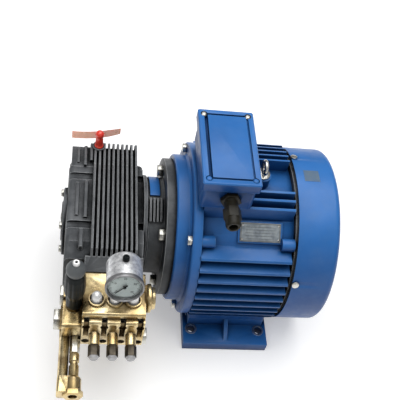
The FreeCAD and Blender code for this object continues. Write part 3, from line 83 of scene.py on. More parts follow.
# ---- Material building ----
class Graph:
    """A material's node tree, with short ways to add nodes and link them."""

    def __init__(self, name):
        self.material = bpy.data.materials.new(name)
        self.material.use_nodes = True
        self.tree = self.material.node_tree
        self.tree.nodes.clear()
        self.shader = self.add("BsdfPrincipled")
        output = self.add("OutputMaterial")
        self.tree.links.new(self.shader.outputs[0], output.inputs[0])
        self.position = self.add("TexCoord").outputs["Object"]

    def add(self, kind, inputs=None, **settings):
        """A new shader node with its settings made and its inputs filled."""
        node = self.tree.nodes.new("ShaderNode" + kind)
        for key, value in settings.items():
            setattr(node, key, value)
        for key, value in (inputs or {}).items():
            self.put(node, key, value)
        return node

    def put(self, node, key, value):
        """Links one input to a socket, or gives it a fixed value."""
        if isinstance(value, bpy.types.NodeSocket):
            self.tree.links.new(value, node.inputs[key])
        else:
            node.inputs[key].default_value = value

    def noise(self, scale, detail=3.0, roughness=0.55, stretch=None):
        """Noise fixed to the object: finer at a larger scale, and drawn out along an axis scaled down."""
        place = self.position
        if stretch:
            place = self.add("Mapping", {"Vector": place, "Scale": stretch}).outputs[0]
        return self.add("TexNoise", {"Vector": place, "Scale": scale, "Detail": detail,
                                     "Roughness": roughness}).outputs["Fac"]

    def span(self, value, low, high, out_low=0.0, out_high=1.0):
        """Maps the values from low to high onto another range, and holds them inside it."""
        return self.add("MapRange", {"Value": value, "From Min": low, "From Max": high,
                                     "To Min": out_low, "To Max": out_high}).outputs["Result"]

    def math(self, operation, first, second):
        """One arithmetic step, with its result held between 0 and 1."""
        return self.add("Math", {0: first, 1: second}, operation=operation, use_clamp=True).outputs[0]

    def blend(self, factor, first, second):
        """The first colour where the factor is 0, and the second where it is 1."""
        node = self.add("Mix", data_type="RGBA")
        sockets = {item.identifier: item for item in node.inputs}
        for key, value in (("Factor_Float", factor), ("A_Color", first), ("B_Color", second)):
            if isinstance(value, bpy.types.NodeSocket):
                self.tree.links.new(value, sockets[key])
            else:
                sockets[key].default_value = value
        return next(item for item in node.outputs if item.identifier == "Result_Color")

    def edges(self, radius):
        """About 1 on edges sharper than the radius, and 0 on flat stretches."""
        soft = self.add("Bevel", {"Radius": radius}, samples=4).outputs[0]
        normal = self.add("NewGeometry").outputs["Normal"]
        match = self.add("VectorMath", {0: soft, 1: normal}, operation="DOT_PRODUCT").outputs["Value"]
        return self.span(match, 0.995, 0.90)

    def hollows(self, distance, low, high):
        """About 1 in crevices narrower than the distance, and 0 on open faces: the mask of the painted
        shade.
        """
        open_sky = self.add("AmbientOcclusion", {"Distance": distance}, samples=6).outputs["AO"]
        return self.span(open_sky, high, low)

    def upward(self):
        """0 on upright and downward faces, and 1 on faces that look up: the mask of the light painted onto
        tops.
        """
        normal = self.add("NewGeometry").outputs["Normal"]
        return self.span(self.add("SeparateXYZ", {0: normal}).outputs["Z"], 0.0, 0.85)

    def relief(self, layers, radius=0.0):
        """Bump from (height, strength, distance) layers, over edges rounded by the radius."""
        normal = self.add("Bevel", {"Radius": radius}, samples=4).outputs[0] if radius else None
        for height, strength, distance in layers:
            inputs = {"Height": height, "Strength": strength, "Distance": distance}
            if normal:
                inputs["Normal"] = normal
            normal = self.add("Bump", inputs).outputs[0]
        self.put(self.shader, "Normal", normal)

    def set(self, **inputs):
        """Fills the surface's properties and returns the finished material."""
        names = {"color": "Base Color", "metal": "Metallic", "rough": "Roughness", "coat": "Coat Weight",
                 "coat_rough": "Coat Roughness", "specular": "Specular IOR Level", "alpha": "Alpha",
                 "transmission": "Transmission Weight", "ior": "IOR", "anisotropy": "Anisotropic"}
        for key, value in inputs.items():
            self.put(self.shader, names[key], value)
        return self.material


def blue_enamel():
    """Glossy blue machine enamel: paler on faces that look up, partly dust and partly painted light; painted
    highlights and chips on edges; painted shade in hollows.
    """
    g = Graph("blue_enamel")
    tone = g.span(g.noise(9.0, 4.0), 0.3, 0.7)
    deep = g.blend(tone, (0.005, 0.048, 0.195, 1), (0.009, 0.072, 0.260, 1))
    lit_and_dusty_top = g.blend(tone, (0.013, 0.115, 0.370, 1), (0.028, 0.170, 0.500, 1))
    # Painted light: faces that look up take the paler blue, the other faces the deeper blue.
    body = g.blend(g.upward(), deep, lit_and_dusty_top)
    chips = g.math("MULTIPLY", g.edges(0.0012), g.span(g.noise(160.0, 5.0, 0.7), 0.52, 0.66))
    dust = g.math("MULTIPLY", g.span(g.noise(45.0, 6.0, 0.65), 0.45, 0.80), 0.16)
    dusty = g.blend(dust, body, (0.10, 0.19, 0.32, 1))
    # Painted highlight: a paler blue along every edge.
    edge_highlight_blue = g.blend(g.math("MULTIPLY", g.edges(0.0014), 0.40), dusty, (0.10, 0.28, 0.58, 1))
    chipped = g.blend(g.math("MULTIPLY", chips, 0.65), edge_highlight_blue, (0.20, 0.27, 0.34, 1))
    # Painted shade: hollows turn near black and lose their coat and gloss.
    hollow_shade = g.hollows(0.030, 0.30, 0.92)
    color = g.blend(g.math("MULTIPLY", hollow_shade, 0.90), chipped, (0.002, 0.016, 0.070, 1))
    rough = g.span(g.noise(70.0, 4.0), 0.3, 0.75, 0.32, 0.52)
    g.relief([(g.noise(420.0, 2.0), 0.10, 0.0004), (g.noise(38.0, 3.0), 0.12, 0.0010)], 0.0007)
    return g.set(color=color, rough=rough, coat=g.span(hollow_shade, 0.0, 1.0, 0.16, 0.02), coat_rough=0.25,
                 specular=g.span(hollow_shade, 0.0, 1.0, 0.30, 0.05))


def black_casting():
    """Satin black paint over die-cast aluminium: grainy, with painted light that greys the tops, edge scuffs
    that also serve as painted highlights, and painted shade that blackens the gaps.
    """
    g = Graph("black_casting")
    tone = g.span(g.noise(26.0, 6.0, 0.65), 0.35, 0.65)
    side = g.blend(tone, (0.012, 0.014, 0.017, 1), (0.032, 0.036, 0.040, 1))
    top = g.blend(tone, (0.038, 0.042, 0.047, 1), (0.125, 0.132, 0.140, 1))
    # Painted light: faces that look up are greyer than the sides.
    body = g.blend(g.upward(), side, top)
    # Edge scuffs to bare metal, which also stand in for painted highlights.
    scuffs_and_edge_highlights = g.math("MULTIPLY", g.edges(0.0020), g.span(g.noise(110.0, 6.0, 0.7), 0.15, 0.50))
    worn_and_highlit = g.blend(g.math("MULTIPLY", scuffs_and_edge_highlights, 0.85), body, (0.44, 0.455, 0.47, 1))
    # Painted shade: gaps turn black and lose their gloss.
    hollow_shade = g.hollows(0.012, 0.45, 0.95)
    color = g.blend(g.math("MULTIPLY", hollow_shade, 0.98), worn_and_highlit, (0.0008, 0.0008, 0.0010, 1))
    rough = g.span(g.noise(80.0, 4.0), 0.3, 0.75, 0.36, 0.54)
    g.relief([(g.noise(650.0, 3.0, 0.6), 0.30, 0.0005), (g.noise(60.0, 3.0), 0.15, 0.0010)], 0.0007)
    return g.set(color=color, rough=rough, specular=g.span(hollow_shade, 0.0, 0.8, 0.34, 0.0))


def brass():
    """Forged brass: pale and uneven, brown tarnish in patches, painted highlights on edges and painted shade
    in hollows.
    """
    g = Graph("brass")
    tone = g.noise(24.0, 5.0)
    body = g.blend(g.span(tone, 0.3, 0.7), (0.60, 0.44, 0.19, 1), (0.90, 0.76, 0.47, 1))
    tarnish = g.math("MULTIPLY", g.span(g.noise(55.0, 7.0, 0.7), 0.46, 0.66), 0.72)
    stained = g.blend(tarnish, body, (0.24, 0.140, 0.055, 1))
    # Painted highlight: pale yellow along every edge.
    edge_highlight_brass = g.blend(g.math("MULTIPLY", g.edges(0.0011), 0.6), stained, (0.98, 0.90, 0.66, 1))
    # Painted shade: hollows turn dark brown and lose their gloss.
    hollow_shade = g.hollows(0.020, 0.30, 0.92)
    color = g.blend(g.math("MULTIPLY", hollow_shade, 0.94), edge_highlight_brass, (0.040, 0.019, 0.006, 1))
    rough = g.span(g.noise(90.0, 5.0), 0.3, 0.75, 0.20, 0.40)
    g.relief([(g.noise(520.0, 3.0, 0.6), 0.16, 0.0004), (g.noise(75.0, 3.0), 0.22, 0.0009)], 0.0006)
    return g.set(color=color, metal=1.0, rough=rough, specular=g.span(hollow_shade, 0.0, 1.0, 0.5, 0.05))


def plated_steel(name, light, dark, rough_low, rough_high, metal=1.0):
    """Zinc or nickel plate with cloudy tone and fine handling marks."""
    g = Graph(name)
    color = g.blend(g.span(g.noise(120.0, 5.0), 0.3, 0.7), dark, light)
    marks = g.noise(900.0, 2.0, 0.5, (1.0, 1.0, 9.0))
    rough = g.span(g.noise(160.0, 4.0), 0.3, 0.75, rough_low, rough_high)
    g.relief([(marks, 0.08, 0.0002), (g.noise(240.0, 3.0), 0.10, 0.0004)], 0.0005)
    return g.set(color=color, metal=metal, rough=rough)


def chrome():
    """Satin plated steel: half mirror, half matte, with slight waviness, dull spots and painted shade in
    hollows.
    """
    g = Graph("chrome")
    cloud = g.span(g.noise(170.0, 5.0, 0.7), 0.42, 0.60)
    color = g.blend(cloud, (0.56, 0.57, 0.59, 1), (0.93, 0.94, 0.95, 1))
    rough = g.span(g.noise(130.0, 6.0, 0.7), 0.45, 0.8, 0.30, 0.48)
    # Painted shade: hollows turn near black.
    hollow_shade = g.hollows(0.006, 0.40, 0.90)
    shaded = g.blend(g.math("MULTIPLY", hollow_shade, 0.85), color, (0.035, 0.035, 0.040, 1))
    g.relief([(g.noise(70.0, 2.0), 0.05, 0.0006)], 0.0006)
    return g.set(color=shaded, metal=0.65, rough=rough)


def turned_steel():
    """Machined steel with fine turning marks about the shaft."""
    g = Graph("turned_steel")
    color = g.blend(g.span(g.noise(50.0, 4.0), 0.3, 0.7), (0.36, 0.37, 0.38, 1), (0.60, 0.60, 0.61, 1))
    rough = g.span(g.noise(140.0, 5.0), 0.3, 0.75, 0.22, 0.40)
    g.relief([(g.noise(1500.0, 2.0, 0.5, (1.0, 0.05, 0.05)), 0.14, 0.0002)], 0.0004)
    return g.set(color=color, metal=1.0, rough=rough, anisotropy=0.4)


def cast_iron():
    """Bare grey casting with sand grain."""
    g = Graph("cast_iron")
    color = g.blend(g.span(g.noise(70.0, 6.0), 0.35, 0.7), (0.10, 0.10, 0.105, 1), (0.20, 0.195, 0.19, 1))
    g.relief([(g.noise(500.0, 4.0, 0.6), 0.4, 0.0006)], 0.0006)
    return g.set(color=color, metal=0.7, rough=g.span(g.noise(90.0), 0.3, 0.7, 0.45, 0.65))


def copper_winding():
    """Lacquered copper wire, laid in fine turns."""
    g = Graph("copper_winding")
    turns = g.noise(700.0, 2.0, 0.5, (0.06, 1.0, 1.0))
    color = g.blend(g.span(turns, 0.35, 0.65), (0.28, 0.09, 0.03, 1), (0.62, 0.27, 0.10, 1))
    g.relief([(turns, 0.7, 0.0008)])
    return g.set(color=color, metal=0.6, rough=g.span(g.noise(60.0), 0.3, 0.7, 0.28, 0.42), coat=0.6)


def moulded(name, dark, light, rough_low, rough_high, coat=0.0, grain=0.12, specular=0.5):
    """Moulded plastic or rubber with a fine surface grain, slight change of tone and painted highlights on
    edges.
    """
    g = Graph(name)
    color = g.blend(g.span(g.noise(40.0, 4.0), 0.3, 0.7), dark, light)
    # Painted highlight: edges lighten towards a paler copy of the light tone.
    pale = tuple(min(1.0, part * 2.2) for part in light[:3]) + (1,)
    edge_highlight_plastic = g.blend(g.math("MULTIPLY", g.edges(0.0008), 0.35), color, pale)
    rough = g.span(g.noise(150.0, 4.0), 0.3, 0.75, rough_low, rough_high)
    g.relief([(g.noise(900.0, 3.0), grain, 0.0003)], 0.0006)
    return g.set(color=edge_highlight_plastic, rough=rough, coat=coat, specular=specular)


def clear_tag():
    """Clear orange film with a slight change of tone."""
    g = Graph("clear_tag")
    color = g.blend(g.span(g.noise(25.0, 3.0), 0.3, 0.7), (0.95, 0.20, 0.10, 1), (0.92, 0.40, 0.16, 1))
    g.relief([(g.noise(90.0, 2.0), 0.08, 0.0004)])
    return g.set(color=color, rough=g.span(g.noise(120.0), 0.3, 0.7, 0.25, 0.45), alpha=0.62)


def lens_glass():
    """Clear flat lens with faint haze."""
    g = Graph("lens_glass")
    rough = g.span(g.noise(200.0, 4.0), 0.4, 0.8, 0.02, 0.14)
    g.relief([(g.noise(60.0, 2.0), 0.04, 0.0003)])
    return g.set(color=(0.93, 0.96, 0.95, 1), rough=rough, transmission=1.0, ior=1.12)


MATERIALS = {
    "blue_paint": blue_enamel(),
    "black_casting": black_casting(),
    "brass": brass(),
    "zinc_steel": plated_steel("zinc_steel", (0.74, 0.73, 0.68, 1), (0.50, 0.49, 0.44, 1), 0.22, 0.40),
    "nickel": plated_steel("nickel", (0.36, 0.36, 0.37, 1), (0.22, 0.22, 0.22, 1), 0.42, 0.58),
    # Painted shade: the dark nickel of the suction caps' sides.
    "shaded_side_nickel": plated_steel("shaded_side_nickel", (0.115, 0.100, 0.078, 1), (0.060, 0.050, 0.038, 1),
                                0.40, 0.55),
    # Painted light: the pale nickel of the suction caps' end faces.
    "lit_end_nickel": plated_steel("lit_end_nickel", (0.52, 0.52, 0.53, 1), (0.36, 0.36, 0.37, 1), 0.45, 0.60,
                                metal=0.4),
    # Painted highlight: zinc whitened almost to white, for the delivery caps and the knob screw.
    "glint_white_zinc": plated_steel("glint_white_zinc", (0.99, 0.99, 0.98, 1), (0.86, 0.86, 0.85, 1), 0.25, 0.40,
                               metal=0.35),
    "black_steel": moulded("black_steel", (0.005, 0.004, 0.003, 1), (0.016, 0.013, 0.010, 1), 0.35, 0.55,
                           specular=0.15),
    "chrome": chrome(),
    "machined_steel": turned_steel(),
    "copper_winding": copper_winding(),
    "cast_iron": cast_iron(),
    "rubber": moulded("rubber", (0.012, 0.012, 0.012, 1), (0.026, 0.026, 0.026, 1), 0.6, 0.8),
    "black_plastic": moulded("black_plastic", (0.002, 0.0035, 0.004, 1), (0.007, 0.011, 0.012, 1),
                             0.30, 0.46, specular=0.12),
    "grey_plastic": moulded("grey_plastic", (0.050, 0.056, 0.060, 1), (0.105, 0.114, 0.118, 1), 0.42, 0.55),
    "olive_plastic": moulded("olive_plastic", (0.006, 0.0055, 0.003, 1), (0.018, 0.015, 0.008, 1),
                             0.38, 0.55, specular=0.25),
    "plate_aluminium": plated_steel("plate_aluminium", (0.40, 0.44, 0.46, 1), (0.17, 0.20, 0.23, 1),
                                    0.34, 0.50, metal=0.5),
    "dial_face": moulded("dial_face", (0.50, 0.55, 0.55, 1), (0.72, 0.76, 0.75, 1), 0.35, 0.5, grain=0.03),
    "red_plastic": moulded("red_plastic", (0.70, 0.030, 0.015, 1), (0.86, 0.060, 0.030, 1), 0.18, 0.32,
                           coat=0.5),
    # Partly bare metal, partly a painted highlight, for the rings round the foot holes.
    "bare_metal_glint": plated_steel("bare_metal_glint", (0.42, 0.46, 0.52, 1), (0.20, 0.26, 0.36, 1), 0.30, 0.50),
    "faded_label": moulded("faded_label", (0.050, 0.120, 0.240, 1), (0.110, 0.160, 0.200, 1), 0.50, 0.70),
    "clear_tag": clear_tag(),
    "etched": moulded("etched", (0.10, 0.10, 0.09, 1), (0.16, 0.155, 0.14, 1), 0.4, 0.6),
    "lens": lens_glass(),
}


# ---- Pieces ----
# Faces that meet below the first angle are joined; edges above the second are rounded.
FLAT_ANGLE, EDGE_ANGLE = math.radians(0.5), math.radians(34.0)


def smooth(mesh, angle=32.0):
    """Smooth shading that stays sharp across edges above the angle, in degrees."""
    mesh.polygons.foreach_set("use_smooth", [True] * len(mesh.polygons))
    mesh.set_sharp_from_angle(angle=math.radians(angle))


def mesh_from(name, bm, angle=32.0):
    """The smooth-shaded mesh of bmesh data, which is freed."""
    mesh = bpy.data.meshes.new(name)
    bm.to_mesh(mesh)
    bm.free()
    smooth(mesh, angle)
    return mesh


def piece(name, mesh, body, slot, material=None, stands_for=()):
    """A new visible piece that rides on a body and takes its finish from a slot."""
    obj = bpy.data.objects.new(name, mesh)
    bpy.context.scene.collection.objects.link(obj)
    mesh.materials.clear()
    mesh.materials.append(material or MATERIALS[slot])
    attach(obj, body)
    if stands_for:
        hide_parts(*stands_for)
    return obj


def applied(obj):
    """Replaces the object's mesh by its evaluated mesh and drops its modifiers."""
    graph = bpy.context.evaluated_depsgraph_get()
    mesh = bpy.data.meshes.new_from_object(obj.evaluated_get(graph), depsgraph=graph)
    obj.modifiers.clear()
    obj.data = mesh
    return mesh


def refined(node, width, material, name):
    """The CAD node with its edges really rounded, standing for the node."""
    mesh = NODES[node].data.copy()
    bm = bmesh.new()
    bm.from_mesh(mesh)
    bmesh.ops.remove_doubles(bm, verts=bm.verts, dist=1e-6)
    if node not in MANY_HOLES:
        bmesh.ops.dissolve_limit(bm, angle_limit=FLAT_ANGLE, verts=bm.verts, edges=bm.edges)
    bm.to_mesh(mesh)
    bm.free()
    obj = bpy.data.objects.new(name, mesh)
    bpy.context.scene.collection.objects.link(obj)
    bevel = obj.modifiers.new("round", "BEVEL")
    bevel.width = width
    bevel.segments = 2
    bevel.limit_method = "ANGLE"
    bevel.angle_limit = EDGE_ANGLE
    bevel.miter_outer = "MITER_ARC"
    mesh = applied(obj)
    mesh.materials.clear()
    mesh.materials.append(material)
    smooth(mesh)
    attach(obj, BODY_OF[node])
    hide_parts(node)


# ---- Shapes in mesh code ----
AXIS_TURN = {
    "x": Matrix(((0, 0, 1), (1, 0, 0), (0, 1, 0))),
    "y": Matrix(((0, 1, 0), (0, 0, 1), (1, 0, 0))),
    "z": Matrix.Identity(3),
}


def lathe_mesh(name, origin, axis, outline, sides=96, ripple=None):
    """A turned mesh about an axis through the origin, from (along, radius) points.

    ripple(angle, along, radius) may return a changed radius, for flutes and knurls.
    """
    bm = bmesh.new()
    rings = []
    for along, radius in outline:
        ring = []
        if radius < 1e-7:
            ring = [bm.verts.new((0.0, 0.0, along))] * sides
        else:
            for i in range(sides):
                angle = 2 * math.pi * i / sides
                reach = ripple(angle, along, radius) if ripple else radius
                ring.append(bm.verts.new((reach * math.cos(angle), reach * math.sin(angle), along)))
        rings.append(ring)
    for low, high in zip(rings, rings[1:]):
        for i in range(sides):
            corners = (low[i], low[(i + 1) % sides], high[(i + 1) % sides], high[i])
            loop = list(dict.fromkeys(corners))
            if len(loop) > 2:
                bm.faces.new(loop)
    turn = AXIS_TURN[axis].to_4x4()
    bmesh.ops.transform(bm, matrix=Matrix.Translation(Vector(origin)) @ turn, verts=bm.verts)
    bmesh.ops.recalc_face_normals(bm, faces=bm.faces)
    return mesh_from(name, bm, 40.0)


def rounded_outline(points, radius, steps=3):
    """The outline with its corners replaced by short arcs of about the radius."""
    out = [points[0]]
    for before, corner, after in zip(points, points[1:], points[2:]):
        a, b, c = Vector(before), Vector(corner), Vector(after)
        cut = min(radius, (a - b).length / 2.1, (c - b).length / 2.1)
        start, end = b + (a - b).normalized() * cut, b + (c - b).normalized() * cut
        for i in range(steps + 1):
            t = i / steps
            spot = start * (1 - t) ** 2 + b * 2 * t * (1 - t) + end * t ** 2
            out.append((spot.x, spot.y))
    out.append(points[-1])
    return out


def rounded_lathe(name, origin, axis, outline, radius=0.0006, **options):
    """A turned mesh whose outline gets its corners rounded first."""
    return lathe_mesh(name, origin, axis, rounded_outline(outline, radius), **options)


def skinned_mesh(name, rings, angle=32.0):
    """A closed mesh stretched over rings of equally many points, with flat ends."""
    bm = bmesh.new()
    rows = [[bm.verts.new(point) for point in ring] for ring in rings]
    count = len(rows[0])
    for first, second in zip(rows, rows[1:]):
        for k in range(count):
            after = (k + 1) % count
            bm.faces.new((first[k], first[after], second[after], second[k]))
    bm.faces.new(rows[0])
    bm.faces.new(rows[-1])
    bmesh.ops.recalc_face_normals(bm, faces=bm.faces)
    return mesh_from(name, bm, angle)


def block_mesh(name, size, place, turn=None, bevel=0.0003):
    """A bevelled block of the size, centred at the place and turned by a matrix."""
    bm = bmesh.new()
    bmesh.ops.create_cube(bm, size=1.0)
    bmesh.ops.scale(bm, vec=size, verts=bm.verts)
    bmesh.ops.bevel(bm, geom=bm.edges[:], offset=bevel, segments=2, affect="EDGES")
    matrix = Matrix.Translation(Vector(place)) @ (turn.to_4x4() if turn else Matrix.Identity(4))
    bmesh.ops.transform(bm, matrix=matrix, verts=bm.verts)
    return mesh_from(name, bm)


def merged(name, meshes):
    """One mesh from several."""
    bm = bmesh.new()
    for mesh in meshes:
        bm.from_mesh(mesh)
    return mesh_from(name, bm)


def box_of(node):
    """The low and high corners of a CAD node's box, and its centre."""
    low, high = (Vector(corner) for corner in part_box(node))
    return low, high, (low + high) / 2


# ---- Carried-over castings, with their edges rounded ----
# The width of the rounding on each node's edges.
ROUNDING = {
    "motor_frame": 0.0008, "motor_feet": 0.0012, "drive_end_shield": 0.0012, "fan_end_shield": 0.0006,
    "fan_cowl": 0.0004, "terminal_box": 0.0010, "terminal_cover": 0.0007, "crankcase": 0.0009,
    "rear_cover": 0.0009, "bearing_cover": 0.0010, "bell_housing": 0.0009, "coupling_cover": 0.0003,
    "pump_head": 0.0009, "unloader_body": 0.0010, "outlet_block": 0.0009, "inlet_fitting": 0.0006,
    "gallery_bolts": 0.0007, "suction_caps": 0.0007, "delivery_caps": 0.0006, "head_bolts": 0.0004,
    "frame_bolts": 0.0004, "bell_bolts": 0.0005, "crankcase_screws": 0.0004, "panel_screws": 0.0003,
    "outlet_nut": 0.0005, "cable_gland": 0.0006, "lifting_eye": 0.0004, "cooling_fan": 0.0005,
}

# Flat faces full of holes keep the triangles they came with: rounding joined ones leaves stray faces.
MANY_HOLES = {"fan_cowl"}

# Nodes that look unlike the other nodes of their slot. Three carry painted light: the fan end shield's black
# casting is painted shade for the dark gap between the frame and the cowl, the suction caps' dark nickel is
# painted shade on their sides, and the delivery caps' whitened zinc is a painted highlight.
FINISH = {"suction_caps": "shaded_side_nickel", "delivery_caps": "glint_white_zinc", "cable_gland": "olive_plastic",
          "fan_end_shield": "black_casting"}


def finish_of(node):
    """The material of a CAD node."""
    return MATERIALS[FINISH.get(node, SLOT_OF[node])]


def castings():
    """Every visible machined or cast node, with real rounded edges."""
    for node, width in ROUNDING.items():
        refined(node, width, finish_of(node), node + "_shape")
    paint_near_cover_screws(bpy.data.objects["panel_screws_shape"].data)
    lit_and_shaded_caps(bpy.data.objects["suction_caps_shape"].data)


def paint_near_cover_screws(mesh):
    """Blue paint over the two cover screws nearest the gland, and bare heads on the other two."""
    cover_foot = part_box("terminal_cover")[0][2]
    mesh.materials.append(MATERIALS["blue_paint"])
    for face in mesh.polygons:
        if face.center.z > cover_foot and face.center.y < 0.0:
            face.material_index = 1


def lit_and_shaded_caps(mesh):
    """Painted light on the suction caps' end faces, which take the pale nickel, and painted shade on their
    darker sides.
    """
    looks_forward = -0.35
    mesh.materials.append(MATERIALS["lit_end_nickel"])
    for face in mesh.polygons:
        if face.normal.y < looks_forward:
            face.material_index = 1


# ---- Gauge ----
# The face looks upwards by the tilt; depths run along the dial's axis.
GAUGE_TILT = math.radians(-10.0)
DIAL_THICKNESS = 0.001
DIAL_DEPTH = 0.005
PRINT_LIFT = 0.00008
CASE_LENGTH = 0.047
BEZEL_WIDTH = 0.0068
FILLER_SETBACK = 0.024
STEM_Y = -0.134

# The scale starts at the lower left and runs clockwise; angles are in degrees.
ZERO_ANGLE, SWEEP = 225.0, 270.0
MAIN_STEPS, TICKS_PER_STEP, STEP_VALUE = 8, 5, 5


def gauge():
    """Satin case, dark bezel, filler plug, printed dial and lens, which look upwards, on an upright stem."""
    low, high, _ = box_of("gauge_case")
    radius = (high.x - low.x) / 2
    turn = Matrix.Rotation(GAUGE_TILT, 4, "X")
    centre = box_of("gauge_dial")[2] - turn @ Vector((0, DIAL_THICKNESS / 2, 0))
    tilt = Matrix.Translation(centre) @ turn @ Matrix.Translation(-centre)
    front = centre.y - DIAL_DEPTH
    case = gauge_case_mesh(centre, front, radius)
    case.transform(tilt)
    stem = gauge_stem_mesh(centre, low.z + 0.006, centre.z - radius)
    shell = merged("gauge_shell", [case, stem])
    piece("gauge_shell", shell, "pump_unit", "chrome", stands_for=("gauge_case",))
    ring = front + BEZEL_WIDTH
    bezel = rounded_lathe("gauge_bezel", (centre.x, 0, centre.z), "y", [
        (centre.y + 0.0012, radius - 0.0040), (centre.y - 0.0010, radius - 0.0040),
        (front + 0.0012, radius - 0.0026), (front, radius - 0.0020), (front, radius - 0.0010),
        (front + 0.0016, radius), (front + 0.0058, radius), (ring, radius - 0.0012),
        (ring, radius - 0.0040), (centre.y + 0.0012, radius - 0.0040)], radius=0.0004, sides=128)
    stud = rounded_lathe("gauge_filler", (centre.x, centre.y + FILLER_SETBACK, centre.z + radius), "z", [
        (-0.005, 0), (-0.005, 0.0043), (0.003, 0.0045), (0.005, 0.0036), (0.005, 0.0014), (0.0036, 0.0012),
        (0.0036, 0)], sides=64)
    lens = rounded_lathe("gauge_lens", (centre.x, centre.y - 0.0040, centre.z), "y", [
        (0.0, 0), (0.0, radius - 0.0038), (0.0007, radius - 0.0038), (0.0007, 0)], sides=96)
    for mesh, slot, finish in ((bezel, "chrome", "nickel"), (stud, "black_plastic", "black_plastic"),
                               (lens, "dial_face", "lens")):
        mesh.transform(tilt)
        piece(mesh.name, mesh, "pump_unit", slot, material=MATERIALS[finish])
    dial(centre, radius - 0.0042, tilt)


def gauge_case_mesh(centre, front, radius):
    """The round case behind the bezel, before it is tilted."""
    floor_y, ring, back = front + 0.014, front + BEZEL_WIDTH, front + CASE_LENGTH
    return rounded_lathe("case", (centre.x, 0, centre.z), "y", [
        (floor_y, 0.0), (floor_y, radius - 0.0035), (ring, radius - 0.0035), (ring, radius - 0.0015),
        (back - 0.0045, radius - 0.0015), (back - 0.0010, radius - 0.0040), (back, radius - 0.0070),
        (back, 0.0)], radius=0.0009, sides=128)


def gauge_stem_mesh(centre, foot_z, top_z):
    """The upright stem with its spanner hexagon."""
    spanner, neck, collar_z = 0.0074, 0.005, foot_z + 0.014
    return rounded_lathe("stem", (centre.x, STEM_Y, 0), "z", [
        (foot_z, 0), (foot_z, spanner), (collar_z, spanner), (collar_z + 0.0002, neck),
        (top_z, neck), (top_z, 0)], sides=6)


def dial(centre, radius, tilt):
    """The dial plate with its scale: ticks round three quarters of a turn, and plain figures."""
    hole = 0.0021
    plate = rounded_lathe("gauge_scale_plate", tuple(centre), "y", [
        (DIAL_THICKNESS, hole), (0.0, hole), (0.0, radius), (DIAL_THICKNESS, radius),
        (DIAL_THICKNESS, hole)], radius=0.0001, sides=96)
    plate.transform(tilt)
    piece("gauge_scale_plate", plate, "pump_unit", "dial_face", stands_for=("gauge_dial",))
    marks = [dial_tick(centre, radius - 0.0014, i) for i in range(MAIN_STEPS * TICKS_PER_STEP + 1)]
    outer, inner, ink = radius - 0.0009, radius - 0.0013, 0.0001
    marks.append(rounded_lathe("ring", (centre.x, centre.y - PRINT_LIFT, centre.z), "y", [
        (ink, inner), (-ink, inner), (-ink, outer), (ink, outer), (ink, inner)],
        radius=0.00001, sides=96))
    every_other = range(0, MAIN_STEPS + 1, 2)
    marks += [dial_figure(centre, radius - 0.0072, step) for step in every_other]
    printed = merged("gauge_print", marks)
    printed.transform(tilt)
    piece("gauge_print", printed, "pump_unit", "black_plastic")


def dial_tick(centre, rim, index):
    """The mesh of one tick, longer at the main steps, that ends at the rim radius."""
    angle = math.radians(ZERO_ANGLE - SWEEP * index / (MAIN_STEPS * TICKS_PER_STEP))
    length, width = (0.0034, 0.00055) if index % TICKS_PER_STEP == 0 else (0.0020, 0.00030)
    reach = rim - length / 2
    spot = (centre.x + reach * math.cos(angle), centre.y - PRINT_LIFT, centre.z + reach * math.sin(angle))
    turn = Matrix.Rotation(-angle, 3, "Y")
    return block_mesh("tick", (length, 0.0002, width), spot, turn, bevel=0.00004)


def dial_figure(centre, reach, step):
    """The mesh of one figure of the dial, at one of the scale's main steps."""
    angle = math.radians(ZERO_ANGLE - SWEEP * step / MAIN_STEPS)
    text = bpy.data.curves.new("figure", "FONT")
    text.body = str(STEP_VALUE * step)
    text.size = 0.0042
    text.align_x = "CENTER"
    text.align_y = "CENTER"
    text.extrude = 0.00008
    holder = bpy.data.objects.new("figure", text)
    bpy.context.scene.collection.objects.link(holder)
    bpy.context.view_layer.update()
    mesh = bpy.data.meshes.new_from_object(holder)
    bpy.data.objects.remove(holder)
    place = (centre.x + reach * math.cos(angle), centre.y - 0.0001, centre.z + reach * math.sin(angle))
    mesh.transform(Matrix.Translation(place) @ Matrix.Rotation(math.radians(90), 4, "X"))
    return mesh


# ---- Knob, spring and oil plug ----
FLUTES, FLUTE_DEPTH = 12, 0.0007
DIPSTICK_LENGTH, GRIP_RADIUS = 0.030, 0.0065
RIBS, RIB_DEPTH = 16, 0.00045
TAG_LENGTH, TAG_WIDTH, TAG_THICKNESS = 0.070, 0.0145, 0.0003
TAG_TAPER, TAG_RISE, TAG_CURL = 0.0030, 0.014, 0.004


